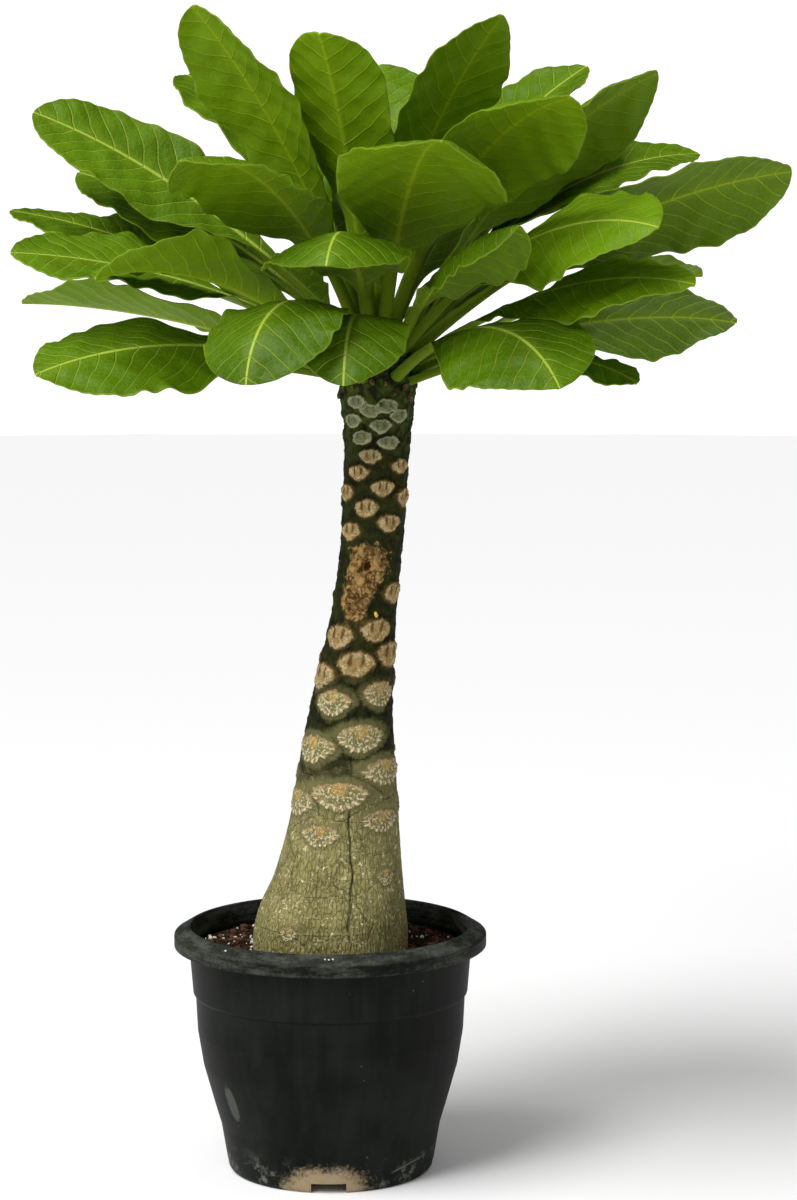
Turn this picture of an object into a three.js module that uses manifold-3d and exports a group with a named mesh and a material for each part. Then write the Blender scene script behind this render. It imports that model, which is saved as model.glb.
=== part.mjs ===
// A potted vulcan palm, a stem succulent from Hawaii: a nursery pot, its soil, a swollen trunk
// covered in leaf scars, and a crown of separate fleshy leaves seated on the trunk's head.
// Millimetres, +Z up. The front of the plant faces -Y and +X is to its right. The origin is the
// middle of the pot's base, on the surface that the pot stands on.
import * as THREE from "three";
import { mergeVertices } from "three/addons/utils/BufferGeometryUtils.js";
import Module from "manifold-3d";

const wasm = await Module();
wasm.setup();

const radians = THREE.MathUtils.degToRad;
const lerp = THREE.MathUtils.lerp;

// Driving sizes of the pot
const POT_RIM_RADIUS = 95;
const POT_HEIGHT = 150;
const POT_SEGMENTS = 36;
const RIM_CHAMFER_DROP = 5;
const RIM_BAND_HEIGHT = 7.3;
const RIM_LIP_RADIUS = 86.7;
const PLASTIC = 1.7;
const FOOT_RADIUS = 60.8;
const FLOOR_RADIUS = 61.4;
const CHANNEL_DEPTH = 6.5;
const CHANNEL_INNER_RADIUS = 30;
const CHANNEL_OUTER_RADIUS = 56.5;
const DRAIN_HOLES = 8;
const DRAIN_HOLE_RADIUS = 4.5;
const DRAIN_HOLE_CIRCLE = 44;
const NOTCHES = 4;
const NOTCH_WIDTH = 21;

// The soil, and the gap that neighbouring pieces keep
const SOIL_LEVEL = 136;
const SOIL_LUMP = 1.6;
const GAP = 0.3;

// The trunk: height, radius, and how far it leans to +X there. The first rows are in the soil
const TRUNK_FORM = [
  [74, 14, 0],
  [84, 30, 0],
  [104, 42, 0],
  [134, 47.2, 0],
  [152, 46.2, 0.5],
  [165, 43.4, 2],
  [177, 40, 4.3],
  [190, 37.2, 6],
  [214, 33.2, 8.5],
  [240, 30.2, 10],
  [263, 27.4, 11.2],
  [288, 24.5, 13.4],
  [312, 21.9, 16.8],
  [336, 19.9, 20],
  [360, 18.8, 23],
  [385, 18.7, 25.6],
  [410, 19.1, 27.2],
  [435, 19.4, 28.4],
  [455, 20.4, 29],
  [470, 22, 29],
  [482, 22, 29],
  [492, 21, 29],
  [502, 18.5, 29],
  [510, 14.5, 29],
  [516, 9, 29],
];
const TRUNK_BOTTOM = 70;
const TRUNK_APEX = 520;
const TRUNK_SEGMENTS = 30;
const SOCKET_SEGMENTS = 18;
const STEM_FOOT = 144;
const STEM_TOP = 478;

// Leaf scars on the front of the trunk, as azimuth and height, from the youngest down. The back
// carries the same scars, half a turn on and a little lower
const SCARS = [
  [236, 468],
  [285, 466],
  [259, 463],
  [307, 460],
  [226, 457],
  [276, 454],
  [243, 447],
  [290, 444],
  [260, 436],
  [316, 430],
  [238, 426],
  [284, 417],
  [210, 414],
  [331, 411],
  [256, 405],
  [300, 396],
  [226, 391],
  [325, 354],
  [252, 349],
  [296, 332],
  [230, 328],
  [330, 317],
  [269, 312],
  [209, 304],
  [312, 294],
  [243, 289],
  [287, 268],
  [222, 261],
  [323, 247],
  [263, 234],
  [205, 228],
  [315, 218],
  [246, 210],
  [318, 184],
  [237, 152],
];
const SCAR_BACK_DROP = 4;
const WOUND = { azimuth: 262, z: 370, half: 12, tall: 13, relief: 1.6 };

// A scar's half width, half height and relief by its height on the trunk
const SCAR_SIZES = [
  [146, 6, 5, 0.4],
  [184, 7, 6, 0.5],
  [212, 12, 7, 0.6],
  [234, 17, 8.5, 0.9],
  [268, 14, 8.5, 1.2],
  [290, 10.5, 8.5, 1.3],
  [312, 11.5, 8.5, 1.3],
  [350, 8, 7, 1.4],
  [410, 7, 5.8, 1.5],
  [440, 6.5, 4.5, 1.5],
  [475, 6.5, 4.5, 1.3],
];
const RING_STEP = 5.8;

// The crown. Leaf seats cover the head from this height up to the apex
const SEAT_FLOOR = 479;
const LAMINA = 1.3;
const MARGIN = 0.8;
const PETIOLE_SHARE = 0.24;
const PETIOLE_HALF_WIDTH = 3.7;
const PETIOLE_BASE_HALF_WIDTH = 4.3;
const PETIOLE_THICKNESS = 4.4;
const WIDEST_AT = 0.64;
const BLUNTNESS = 0.97;
const RIPPLE = 3;
const LEAF_STATIONS = [0, 0.13, 0.26, 0.39, 0.52, 0.64, 0.76, 0.87, 0.95, 1];
const LEAF_SPREAD = [1, 0.5, 0, -0.5, -1];

// One row for each leaf, from the oldest and lowest to the youngest.
// Degrees: the way it points (0 is +X, 270 the front), how steeply it rises at its root, middle
// and tip, how far its left and right margins turn up (minus is down), and its roll.
// Millimetres: its length and its width. Its point is 0 for a blunt tip and 1 for a sharp one.
const LEAVES = [
  // azimuth, root, middle, tip, length, width, left, right, roll, point
  [245, 45, 35, -85, 190, 84, -15, -25, 0, 0],
  [336, 20, 10, -30, 152, 68, -10, -10, 10, 0.3],
  [138, 8, 0, -15, 200, 74, 10, 10, 0, 0.4],
  [303, 30, 20, -54, 184, 90, -20, -25, 20, 0.5],
  [62, 8, 0, -15, 200, 74, 10, 10, 0, 0.3],
  [206, 18, 6, -22, 202, 88, -5, -15, -30, 0.5],
  [352, 24, 12, -9, 202, 80, -10, -10, -32, 0.6],
  [100, 10, 5, -20, 190, 76, -15, -15, 0, 0.2],
  [263, 40, 28, -80, 158, 64, -15, -15, 0, 0.3],
  [17, 30, 17, 2, 202, 72, 10, 10, -12, 0.5],
  [172, 20, 13, 0, 206, 72, 35, 0, 0, 0.6],
  [326, 31, 22, -12, 208, 76, -10, -15, 22, 0.7],
  [92, 20, 10, -10, 210, 76, 10, 10, 0, 0.4],
  [214, 36, 28, -16, 188, 72, 45, 5, 0, 0.5],
  [297, 47, 32, 0, 180, 60, -65, -65, 0, 0.1],
  [164, 36, 23, 8, 240, 70, 5, 0, -15, 0.5],
  [350, 43, 27, 7, 258, 84, -10, -30, -38, 0.1],
  [45, 35, 25, 5, 220, 76, 10, 10, 0, 0.4],
  [194, 32, 16, 2, 214, 70, -5, 10, -20, 0.5],
  [318, 44, 32, -15, 216, 84, -15, -25, 34, 0.7],
  [120, 30, 20, 0, 210, 76, 10, 10, 0, 0.2],
  [260, 54, 52, -52, 174, 90, -30, -30, 0, 0.1],
  [18, 56, 38, 0, 236, 72, 5, 5, 14, 0.5],
  [160, 46, 31, 14, 214, 74, 10, 10, -25, 0.4],
  [350, 66, 48, 26, 226, 78, -10, -50, -35, 0.3],
  [236, 58, 46, -14, 218, 80, -10, -55, -5, 0.4],
  [70, 40, 30, 15, 218, 76, 10, 10, 0, 0.2],
  [281, 60, 45, -8, 218, 100, -45, -15, 0, 0],
  [112, 55, 42, 20, 215, 74, 10, 10, 0, 0.4],
  [22, 56, 42, 26, 192, 60, 10, 10, 5, 0],
  [255, 71, 60, 42, 204, 60, 0, 25, -2, 0],
  [175, 43, 40, 20, 238, 66, -5, 25, -32, 0.2],
  [306, 62, 46, 5, 224, 84, -10, -50, -28, 0.2],
  [90, 76, 60, 42, 196, 76, 5, 5, 0, 0],
  [221, 68, 57, 42, 225, 66, -15, -50, 0, 0],
  [24, 70, 52, 30, 210, 72, 10, 10, 15, 0.5],
  [270, 78, 72, 66, 70, 18, 25, 25, 0, 0.5],
  [139, 65, 50, 22, 222, 74, 10, 10, -10, 0.1],
  [186, 84, 80, 75, 90, 26, 20, 20, 0, 0.5],
  [70, 85, 70, 55, 145, 54, 10, 10, 0, 0.3],
  [321, 84, 62, 44, 200, 66, -5, -10, -10, 0.5],
];

// Colours
const POT_BLACK = new THREE.MeshStandardMaterial({ color: 0x1d211f, roughness: 0.55 });
const SOIL_BROWN = new THREE.MeshStandardMaterial({ color: 0x2c1c14, roughness: 0.95 });
const TRUNK_GREEN = new THREE.MeshStandardMaterial({ color: 0x6a6a3f, roughness: 0.75 });
const LEAF_GREEN = new THREE.MeshStandardMaterial({
  color: 0x4f7f16,
  roughness: 0.45,
  side: THREE.DoubleSide,
});

// A closed three.js geometry as a solid that can be joined and cut.
function solidFrom(geometry) {
  const bare = geometry.clone();
  bare.deleteAttribute("normal");
  bare.deleteAttribute("uv");
  const merged = mergeVertices(bare, 1e-4);
  return new wasm.Manifold(
    new wasm.Mesh({
      numProp: 3,
      vertProperties: new Float32Array(merged.attributes.position.array),
      triVerts: new Uint32Array(merged.index.array),
    }),
  );
}

// A solid as a flat-shaded three.js geometry.
function geometryFrom(solid) {
  const mesh = solid.getMesh();
  const geometry = new THREE.BufferGeometry();
  const points = new THREE.BufferAttribute(new Float32Array(mesh.vertProperties), 3);
  geometry.setAttribute("position", points);
  geometry.setIndex(new THREE.BufferAttribute(new Uint32Array(mesh.triVerts), 1));
  const flat = geometry.toNonIndexed();
  flat.computeVertexNormals();
  return flat;
}

// A geometry from a list of points and a list of triangles.
function geometryOf(points, triangles) {
  const geometry = new THREE.BufferGeometry();
  geometry.setAttribute(
    "position",
    new THREE.Float32BufferAttribute(
      points.flatMap((p) => [p.x, p.y, p.z]),
      3,
    ),
  );
  geometry.setIndex(triangles);
  return geometry;
}

// The sides of a stack of closed loops with equally many points, counter-clockwise about the way
// the stack goes, as triangles. leansBack says which way the four-sided patch above a loop's side
// is split in two.
function sideTriangles(count, size, leansBack) {
  const triangles = [];
  for (let ring = 0; ring + 1 < count; ring++) {
    for (let i = 0; i < size; i++) {
      const a = ring * size + i;
      const b = ring * size + ((i + 1) % size);
      if (leansBack(ring, i)) triangles.push(a, b, a + size, b, b + size, a + size);
      else triangles.push(a, b, b + size, a, b + size, a + size);
    }
  }
  return triangles;
}

// A skin over a stack of round loops, closed at each end by a fan round the end loop's middle.
function loftRound(loops, leansBack) {
  const size = loops[0].length;
  const points = loops.flat();
  const triangles = sideTriangles(loops.length, size, leansBack);
  const first = points.length;
  const lastRing = (loops.length - 1) * size;
  points.push(middleOf(loops[0]), middleOf(loops[loops.length - 1]));
  for (let i = 0; i < size; i++) {
    const next = (i + 1) % size;
    triangles.push(first, next, i, first + 1, lastRing + i, lastRing + next);
  }
  return geometryOf(points, triangles);
}

// A skin over a stack of thin loops, each out along one face and back along the other. Each end
// is closed by a strip between the two faces.
function loftThin(loops, leansBack) {
  const size = loops[0].length;
  const triangles = sideTriangles(loops.length, size, leansBack);
  const lastRing = (loops.length - 1) * size;
  for (let i = 0; i + 1 < size / 2; i++) {
    const across = size - 1 - i;
    triangles.push(i, across - 1, i + 1, i, across, across - 1);
    const [a, b, c, d] = [i, i + 1, across - 1, across].map((corner) => corner + lastRing);
    triangles.push(a, b, c, a, c, d);
  }
  return geometryOf(loops.flat(), triangles);
}

function middleOf(points) {
  const sum = new THREE.Vector3();
  points.forEach((p) => sum.add(p));
  return sum.divideScalar(points.length);
}

// A profile of [radius, height] pairs turned about the Z axis.
function turned(profile, segments) {
  const points = profile.map(([r, z]) => new THREE.Vector2(r, z));
  return new THREE.LatheGeometry(points, segments).rotateX(Math.PI / 2);
}

// The pot's walls: radius and height, from the foot to below the rim. The band over the step
// at 109 mm stands a millimetre proud.
const POT_WALL = [
  [62.7, 2.5],
  [64.8, 15],
  [67, 28],
  [70.6, 40],
  [77.6, 65],
  [81, 86],
  [82.1, 107.5],
  [83.6, 109],
];
const POT_INNER_WALL = POT_WALL.slice(1, 7).map(([r, z]) => [r - PLASTIC, z]);

function makePot() {
  const bandTop = POT_HEIGHT - RIM_CHAMFER_DROP;
  const bandFoot = bandTop - RIM_BAND_HEIGHT;
  const inBand = POT_RIM_RADIUS - PLASTIC;
  const floor = CHANNEL_DEPTH + 2;
  const profile = [
    [0, 0],
    [CHANNEL_INNER_RADIUS - 2, 0],
    [CHANNEL_INNER_RADIUS, CHANNEL_DEPTH],
    [CHANNEL_OUTER_RADIUS, CHANNEL_DEPTH],
    [CHANNEL_OUTER_RADIUS + 1, 0],
    [FOOT_RADIUS, 0],
    ...POT_WALL,
    [RIM_LIP_RADIUS, POT_HEIGHT - 3],
    [inBand, bandTop - 2],
    [inBand, bandFoot],
    [POT_RIM_RADIUS, bandFoot],
    [POT_RIM_RADIUS, bandTop],
    [RIM_LIP_RADIUS, POT_HEIGHT],
    [RIM_LIP_RADIUS - PLASTIC, POT_HEIGHT],
    ...[...POT_INNER_WALL].reverse(),
    [FLOOR_RADIUS, floor],
    [CHANNEL_INNER_RADIUS + 1, floor],
    [CHANNEL_INNER_RADIUS - 2, 2],
    [0, 2],
  ];
  let pot = solidFrom(turned(profile, POT_SEGMENTS));
  for (let i = 0; i < NOTCHES; i++) {
    const turn = radians(-90 + (360 / NOTCHES) * i);
    const cut = new THREE.BoxGeometry(14, NOTCH_WIDTH, 2 * (CHANNEL_DEPTH - 0.4));
    cut.translate(FOOT_RADIUS, 0, 0).rotateZ(turn);
    pot = pot.subtract(solidFrom(cut));
  }
  for (let i = 0; i < DRAIN_HOLES; i++) {
    const turn = radians(22.5 + (360 / DRAIN_HOLES) * i);
    const cut = new THREE.CylinderGeometry(DRAIN_HOLE_RADIUS, DRAIN_HOLE_RADIUS, 8, 10);
    cut.rotateX(Math.PI / 2).translate(DRAIN_HOLE_CIRCLE, 0, CHANNEL_DEPTH + 1).rotateZ(turn);
    pot = pot.subtract(solidFrom(cut));
  }
  return pot;
}

// Gentle lumps on the soil, from a few crossed waves.
function soilLump(x, y) {
  const broad = Math.sin(x * 0.09 + 1.3) * Math.cos(y * 0.11 - 0.4);
  const fine = Math.sin(x * 0.31 - y * 0.23) * Math.cos(y * 0.37 + x * 0.12);
  return SOIL_LUMP * (0.6 * broad + 0.4 * fine);
}

function makeSoil(trunkSocket) {
  const side = POT_INNER_WALL.filter(([, z]) => z < SOIL_LEVEL).map(([r, z]) => [r - GAP, z]);
  const floor = CHANNEL_DEPTH + 2 + GAP;
  const edge = side[side.length - 1][0] + 0.6;
  const profile = [
    [0, 2 + GAP],
    [CHANNEL_INNER_RADIUS - 3, 2 + GAP],
    [CHANNEL_INNER_RADIUS + 0.6, floor],
    [FLOOR_RADIUS - 2 * GAP, floor],
    ...side,
    ...[1, 0.84, 0.68, 0].map((share) => [edge * share, SOIL_LEVEL]),
  ];
  const body = turned(profile, POT_SEGMENTS);
  const place = body.getAttribute("position");
  for (let i = 0; i < place.count; i++) {
    const [x, y] = [place.getX(i), place.getY(i)];
    const inside = Math.hypot(x, y) < edge - 1;
    if (place.getZ(i) > SOIL_LEVEL - 0.01 && inside) {
      place.setZ(i, SOIL_LEVEL + soilLump(x, y));
    }
  }
  return solidFrom(body).subtract(trunkSocket);
}

// The trunk's radius and lean at a height, smoothed through its driving rows.
const trunkCurve = new THREE.CatmullRomCurve3(
  TRUNK_FORM.map(([z, r, lean]) => new THREE.Vector3(lean, r, z)),
  false,
  "centripetal",
);

function trunkAt(z) {
  let low = 0;
  let high = 1;
  for (let i = 0; i < 30; i++) {
    const middle = (low + high) / 2;
    if (trunkCurve.getPoint(middle).z < z) low = middle;
    else high = middle;
  }
  const found = trunkCurve.getPoint((low + high) / 2);
  return { lean: found.x, radius: found.y };
}

// A point at a height and azimuth, off the trunk's surface by so much.
function onTrunk(azimuth, z, off) {
  const { lean, radius } = trunkAt(z);
  const r = radius + off;
  return new THREE.Vector3(lean + r * Math.cos(azimuth), r * Math.sin(azimuth), z);
}

// The value at x in rows of [x, value, value, ...], straight between the rows.
function between(rows, x, column) {
  const next = rows.findIndex((row) => row[0] > x);
  if (next === 0) return rows[0][column];
  if (next < 0) return rows[rows.length - 1][column];
  const [low, high] = [rows[next - 1], rows[next]];
  return lerp(low[column], high[column], (x - low[0]) / (high[0] - low[0]));
}

// Every scar on the trunk with its size.
function allScars() {
  const backs = SCARS.map(([azimuth, z]) => [azimuth - 180, z - SCAR_BACK_DROP]);
  const scars = [...SCARS, ...backs].map(([azimuth, z]) => ({
    azimuth,
    z,
    half: between(SCAR_SIZES, z, 1),
    tall: between(SCAR_SIZES, z, 2),
    relief: between(SCAR_SIZES, z, 3),
  }));
  return [...scars, WOUND];
}

// How far the bark stands proud at a place: full on a scar's face, nothing between the scars.
// A scar is flat at its top and comes to a blunt point below.
function scarRelief(scars, azimuth, z, radius) {
  let relief = 0;
  for (const scar of scars) {
    const down = (z - scar.z) / scar.tall;
    if (Math.abs(down) > 1.5) continue;
    const turn = THREE.MathUtils.euclideanModulo(azimuth - scar.azimuth + 180, 360) - 180;
    const aside = (radians(turn) * radius) / (scar.half * (down < 0 ? 1 + 0.35 * down : 1));
    const off = Math.hypot(aside, down);
    relief = Math.max(relief, scar.relief * (1 - THREE.MathUtils.smoothstep(off, 0.75, 1.3)));
  }
  return relief;
}

// A skin round the trunk at some heights, swollen by so much, with or without its scars.
// Every other ring is half a step round, so that the patches are all alike.
function trunkBody(heights, swell, segments, scars = []) {
  const { length } = heights;
  const loops = heights.map((z, ring) =>
    Array.from({ length: segments }, (_, i) => {
      const azimuth = (360 * (i + (ring % 2) / 2)) / segments;
      const relief = scarRelief(scars, azimuth, z, trunkAt(z).radius);
      return onTrunk(radians(azimuth), z, swell + relief);
    }),
  );
  const geometry = loftRound(loops, (ring) => ring % 2 === 0);
  const place = geometry.getAttribute("position");
  const ends = length * segments;
  if (heights[0] < SOIL_LEVEL) place.setXYZ(ends, 0, 0, TRUNK_BOTTOM - swell);
  if (heights[length - 1] > SEAT_FLOOR) {
    place.setXYZ(ends + 1, trunkAt(TRUNK_APEX).lean, 0, TRUNK_APEX + swell);
  }
  return solidFrom(geometry);
}

function makeTrunk() {
  const count = Math.round((STEM_TOP - STEM_FOOT) / RING_STEP);
  const stem = Array.from({ length: count }, (_, i) => lerp(STEM_FOOT, STEM_TOP, i / count));
  return trunkBody([...rootHeights, ...stem, ...headHeights], 0, TRUNK_SEGMENTS, allScars());
}

// Seats share the head's surface equally, from the lowest leaf to the youngest.
function seatHeights(count) {
  const step = 0.25;
  const areas = [0];
  for (let z = SEAT_FLOOR; z < TRUNK_FORM[TRUNK_FORM.length - 1][0]; z += step) {
    const low = trunkAt(z).radius;
    const high = trunkAt(z + step).radius;
    areas.push(areas[areas.length - 1] + (low + high) * Math.hypot(step, high - low));
  }
  const total = areas[areas.length - 1];
  return Array.from({ length: count }, (_, i) => {
    const wanted = (total * (i + 0.5)) / count;
    return SEAT_FLOOR + step * areas.findIndex((area) => area >= wanted);
  });
}

// Half the leaf's width at a share of its length: a petiole that flares at its root, then a
// blade that is widest past its middle and narrows to its tip.
function leafHalfWidth(share, width, point) {
  const flare = Math.max(0, 1 - share / 0.12) ** 2;
  const petiole = lerp(PETIOLE_HALF_WIDTH, PETIOLE_BASE_HALF_WIDTH, flare);
  const slim = Math.min(1, 0.45 + width / 120);
  const t = Math.max(0, (share - PETIOLE_SHARE) / (1 - PETIOLE_SHARE));
  const rising = Math.sin((Math.PI / 2) * Math.min(1, t / WIDEST_AT)) ** 1.25;
  const late = (BLUNTNESS * Math.max(0, t - WIDEST_AT)) / (1 - WIDEST_AT);
  const falling = (1 - late ** (2.5 - 0.9 * point)) ** (0.5 + 0.35 * point);
  const blade = (width / 2) * (t < WIDEST_AT ? rising : falling);
  return Math.hypot(petiole * slim * (1 - 0.65 * t), blade);
}

// Points down the midrib with the frame there: out along the leaf, to its left, and up.
function leafSpine({ azimuth, root, middle, tip, length, roll, seat }) {
  const fine = 60;
  const way = radians(azimuth);
  const flatLeft = new THREE.Vector3(-Math.sin(way), Math.cos(way), 0);
  const spine = [];
  const place = onTrunk(way, seat, -5);
  for (let i = 0; i <= fine; i++) {
    const s = i / fine;
    const rise = radians((1 - s) ** 2 * root + 2 * s * (1 - s) * middle + s * s * tip);
    const lean = radians(roll * Math.min(1, s / 0.5));
    const out = new THREE.Vector3(
      Math.cos(rise) * Math.cos(way),
      Math.cos(rise) * Math.sin(way),
      Math.sin(rise),
    );
    const flatUp = new THREE.Vector3().crossVectors(out, flatLeft);
    const left = flatLeft.clone().multiplyScalar(Math.cos(lean));
    left.addScaledVector(flatUp, Math.sin(lean));
    const up = new THREE.Vector3().crossVectors(out, left);
    spine.push({ s, place: place.clone(), out, left, up });
    place.addScaledVector(out, length / fine);
  }
  return spine;
}

// How far a margin ripples up or down, out along the blade.
function rippleAt(share, side, number) {
  const t = Math.max(0, (share - PETIOLE_SHARE) / (1 - PETIOLE_SHARE));
  const phase = number * 2.4 + (side > 0 ? 0 : 1.9);
  return RIPPLE * Math.sin(Math.PI * t) ** 0.7 * Math.sin(t * 13 + phase);
}

function makeLeaf(leaf, number, socket) {
  const spine = leafSpine(leaf);
  const loops = LEAF_STATIONS.map((share) => {
    const { place, left, up } = spine[Math.round(share * (spine.length - 1))];
    const half = leafHalfWidth(share, leaf.width, leaf.point);
    const t = Math.max(0, (share - PETIOLE_SHARE) / (1 - PETIOLE_SHARE));
    const rib = lerp(PETIOLE_THICKNESS, LAMINA + 0.3, Math.min(1, share * 1.15));
    const open = THREE.MathUtils.smoothstep(share, 0.15, 0.5);
    const over = [];
    const under = [];
    for (const v of LEAF_SPREAD) {
      const side = Math.sign(v);
      const out = Math.abs(v);
      const cup = radians(lerp(18, v > 0 ? leaf.left : leaf.right, open));
      const bend = cup * (0.35 + 0.32 * out);
      const lift = out * half * Math.sin(bend) + v * v * rippleAt(share, v, number);
      const slope = side * cup * (0.35 + 0.65 * out);
      const skin = lerp(LAMINA, MARGIN, out);
      const body = rib * (1 - 0.5 * v * v);
      const thick = lerp(body, v === 0 ? rib : skin, THREE.MathUtils.smoothstep(t, 0, 0.25));
      const top = place.clone().addScaledVector(up, lift);
      top.addScaledVector(left, v * half * Math.cos(bend));
      const down = up.clone().multiplyScalar(-Math.cos(slope));
      down.addScaledVector(left, Math.sin(slope));
      over.push(top);
      under.push(top.clone().addScaledVector(down, thick));
    }
    return [...over, ...under.reverse()];
  });
  const mirrored = (_, i) => [2, 3, 7, 8].includes(i);
  return solidFrom(loftThin(loops, mirrored)).subtract(socket);
}

const plant = new THREE.Group();

function addPiece(name, solid, material) {
  const mesh = new THREE.Mesh(geometryFrom(solid), material);
  mesh.name = name;
  plant.add(mesh);
}

const rootHeights = TRUNK_FORM.map(([z]) => z).filter((z) => z < STEM_FOOT);
const headHeights = TRUNK_FORM.map(([z]) => z).filter((z) => z > STEM_TOP);
const headSocket = trunkBody([450, 470, ...headHeights], GAP + 0.5, SOCKET_SEGMENTS);
const rootSocket = trunkBody([...rootHeights, 150], GAP, TRUNK_SEGMENTS);
const seats = seatHeights(LEAVES.length);

addPiece("pot", makePot(), POT_BLACK);
addPiece("soil", makeSoil(rootSocket), SOIL_BROWN);
addPiece("trunk", makeTrunk(), TRUNK_GREEN);
LEAVES.forEach((row, i) => {
  const [azimuth, root, middle, tip, length, width, left, right, roll, point] = row;
  const way = { azimuth, root, middle, tip, roll };
  const leaf = { ...way, length, width, left, right, point, seat: seats[i] };
  const name = `leaf_${String(i + 1).padStart(2, "0")}`;
  addPiece(name, makeLeaf(leaf, i, headSocket), LEAF_GREEN);
});

export default plant;
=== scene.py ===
"""A potted vulcan palm: a swollen, scarred trunk under a crown of fleshy leaves, in a nursery pot.

Lengths in the tables are millimetres and angles are degrees. +Z is up, the front faces -Y, and the
origin is the middle of the pot's base. The meshes are made in metres.
"""

import logging
import math
from dataclasses import dataclass, field
from enum import Enum

import bmesh
import bpy
import numpy as np
from mathutils import Euler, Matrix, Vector, noise


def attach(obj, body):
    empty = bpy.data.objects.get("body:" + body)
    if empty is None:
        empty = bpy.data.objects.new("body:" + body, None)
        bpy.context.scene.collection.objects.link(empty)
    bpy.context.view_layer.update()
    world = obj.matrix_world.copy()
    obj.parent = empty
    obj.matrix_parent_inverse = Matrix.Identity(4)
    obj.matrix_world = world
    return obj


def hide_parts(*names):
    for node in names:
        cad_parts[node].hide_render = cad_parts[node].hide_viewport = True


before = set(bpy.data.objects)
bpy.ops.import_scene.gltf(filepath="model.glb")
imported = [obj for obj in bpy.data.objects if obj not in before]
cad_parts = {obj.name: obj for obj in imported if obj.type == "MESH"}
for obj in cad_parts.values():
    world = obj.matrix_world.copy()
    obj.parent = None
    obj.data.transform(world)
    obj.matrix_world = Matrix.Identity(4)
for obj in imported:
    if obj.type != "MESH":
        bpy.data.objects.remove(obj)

MM = 0.001
SEED = 7
LOG = logging.getLogger("palm")

Number = float | int
Colour = tuple[float, float, float, float]

# The trunk: height, radius, and how far it leans to +X there
TRUNK_FORM = [
    (74, 14, 0), (84, 30, 0), (104, 42, 0), (134, 47.2, 0), (152, 46.2, 0.5), (165, 43.4, 2),
    (177, 40, 4.3), (190, 37.2, 6), (214, 33.2, 8.5), (240, 30.2, 10), (263, 27.4, 11.2),
    (288, 24.5, 13.4), (312, 21.9, 16.8), (336, 19.9, 20), (360, 18.8, 23), (385, 18.7, 25.6),
    (410, 19.1, 27.2), (435, 19.4, 28.4), (455, 20.4, 29), (470, 22, 29), (482, 22, 29),
    (492, 21, 29), (502, 18.5, 29), (510, 14.5, 29), (516, 9, 29),
]

# Leaf scars on the front of the trunk, as azimuth and height, from the youngest down
SCARS = [
    (236, 468), (285, 466), (259, 463), (307, 460), (226, 457), (276, 454), (243, 447),
    (290, 444), (260, 436), (316, 430), (238, 426), (284, 417), (210, 414), (331, 411),
    (256, 405), (300, 396), (226, 391), (325, 354), (252, 349), (296, 332), (230, 328),
    (330, 317), (269, 312), (209, 304), (312, 294), (243, 289), (287, 268), (222, 261),
    (323, 247), (263, 234), (205, 228), (315, 218), (246, 210), (318, 184), (237, 152),
]

# A scar's half width, half height and relief by its height on the trunk
SCAR_SIZES = [
    (146, 6, 5, 0.4), (184, 7.5, 6, 0.5), (212, 14, 7.5, 0.6), (234, 20, 9.5, 0.9),
    (268, 16, 9.5, 1.2), (290, 12, 9, 1.3), (312, 13, 9, 1.3), (350, 9, 7.5, 1.4),
    (410, 7.8, 6.2, 1.5), (440, 7.4, 4.9, 1.5), (475, 7, 4.8, 1.3),
]

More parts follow.
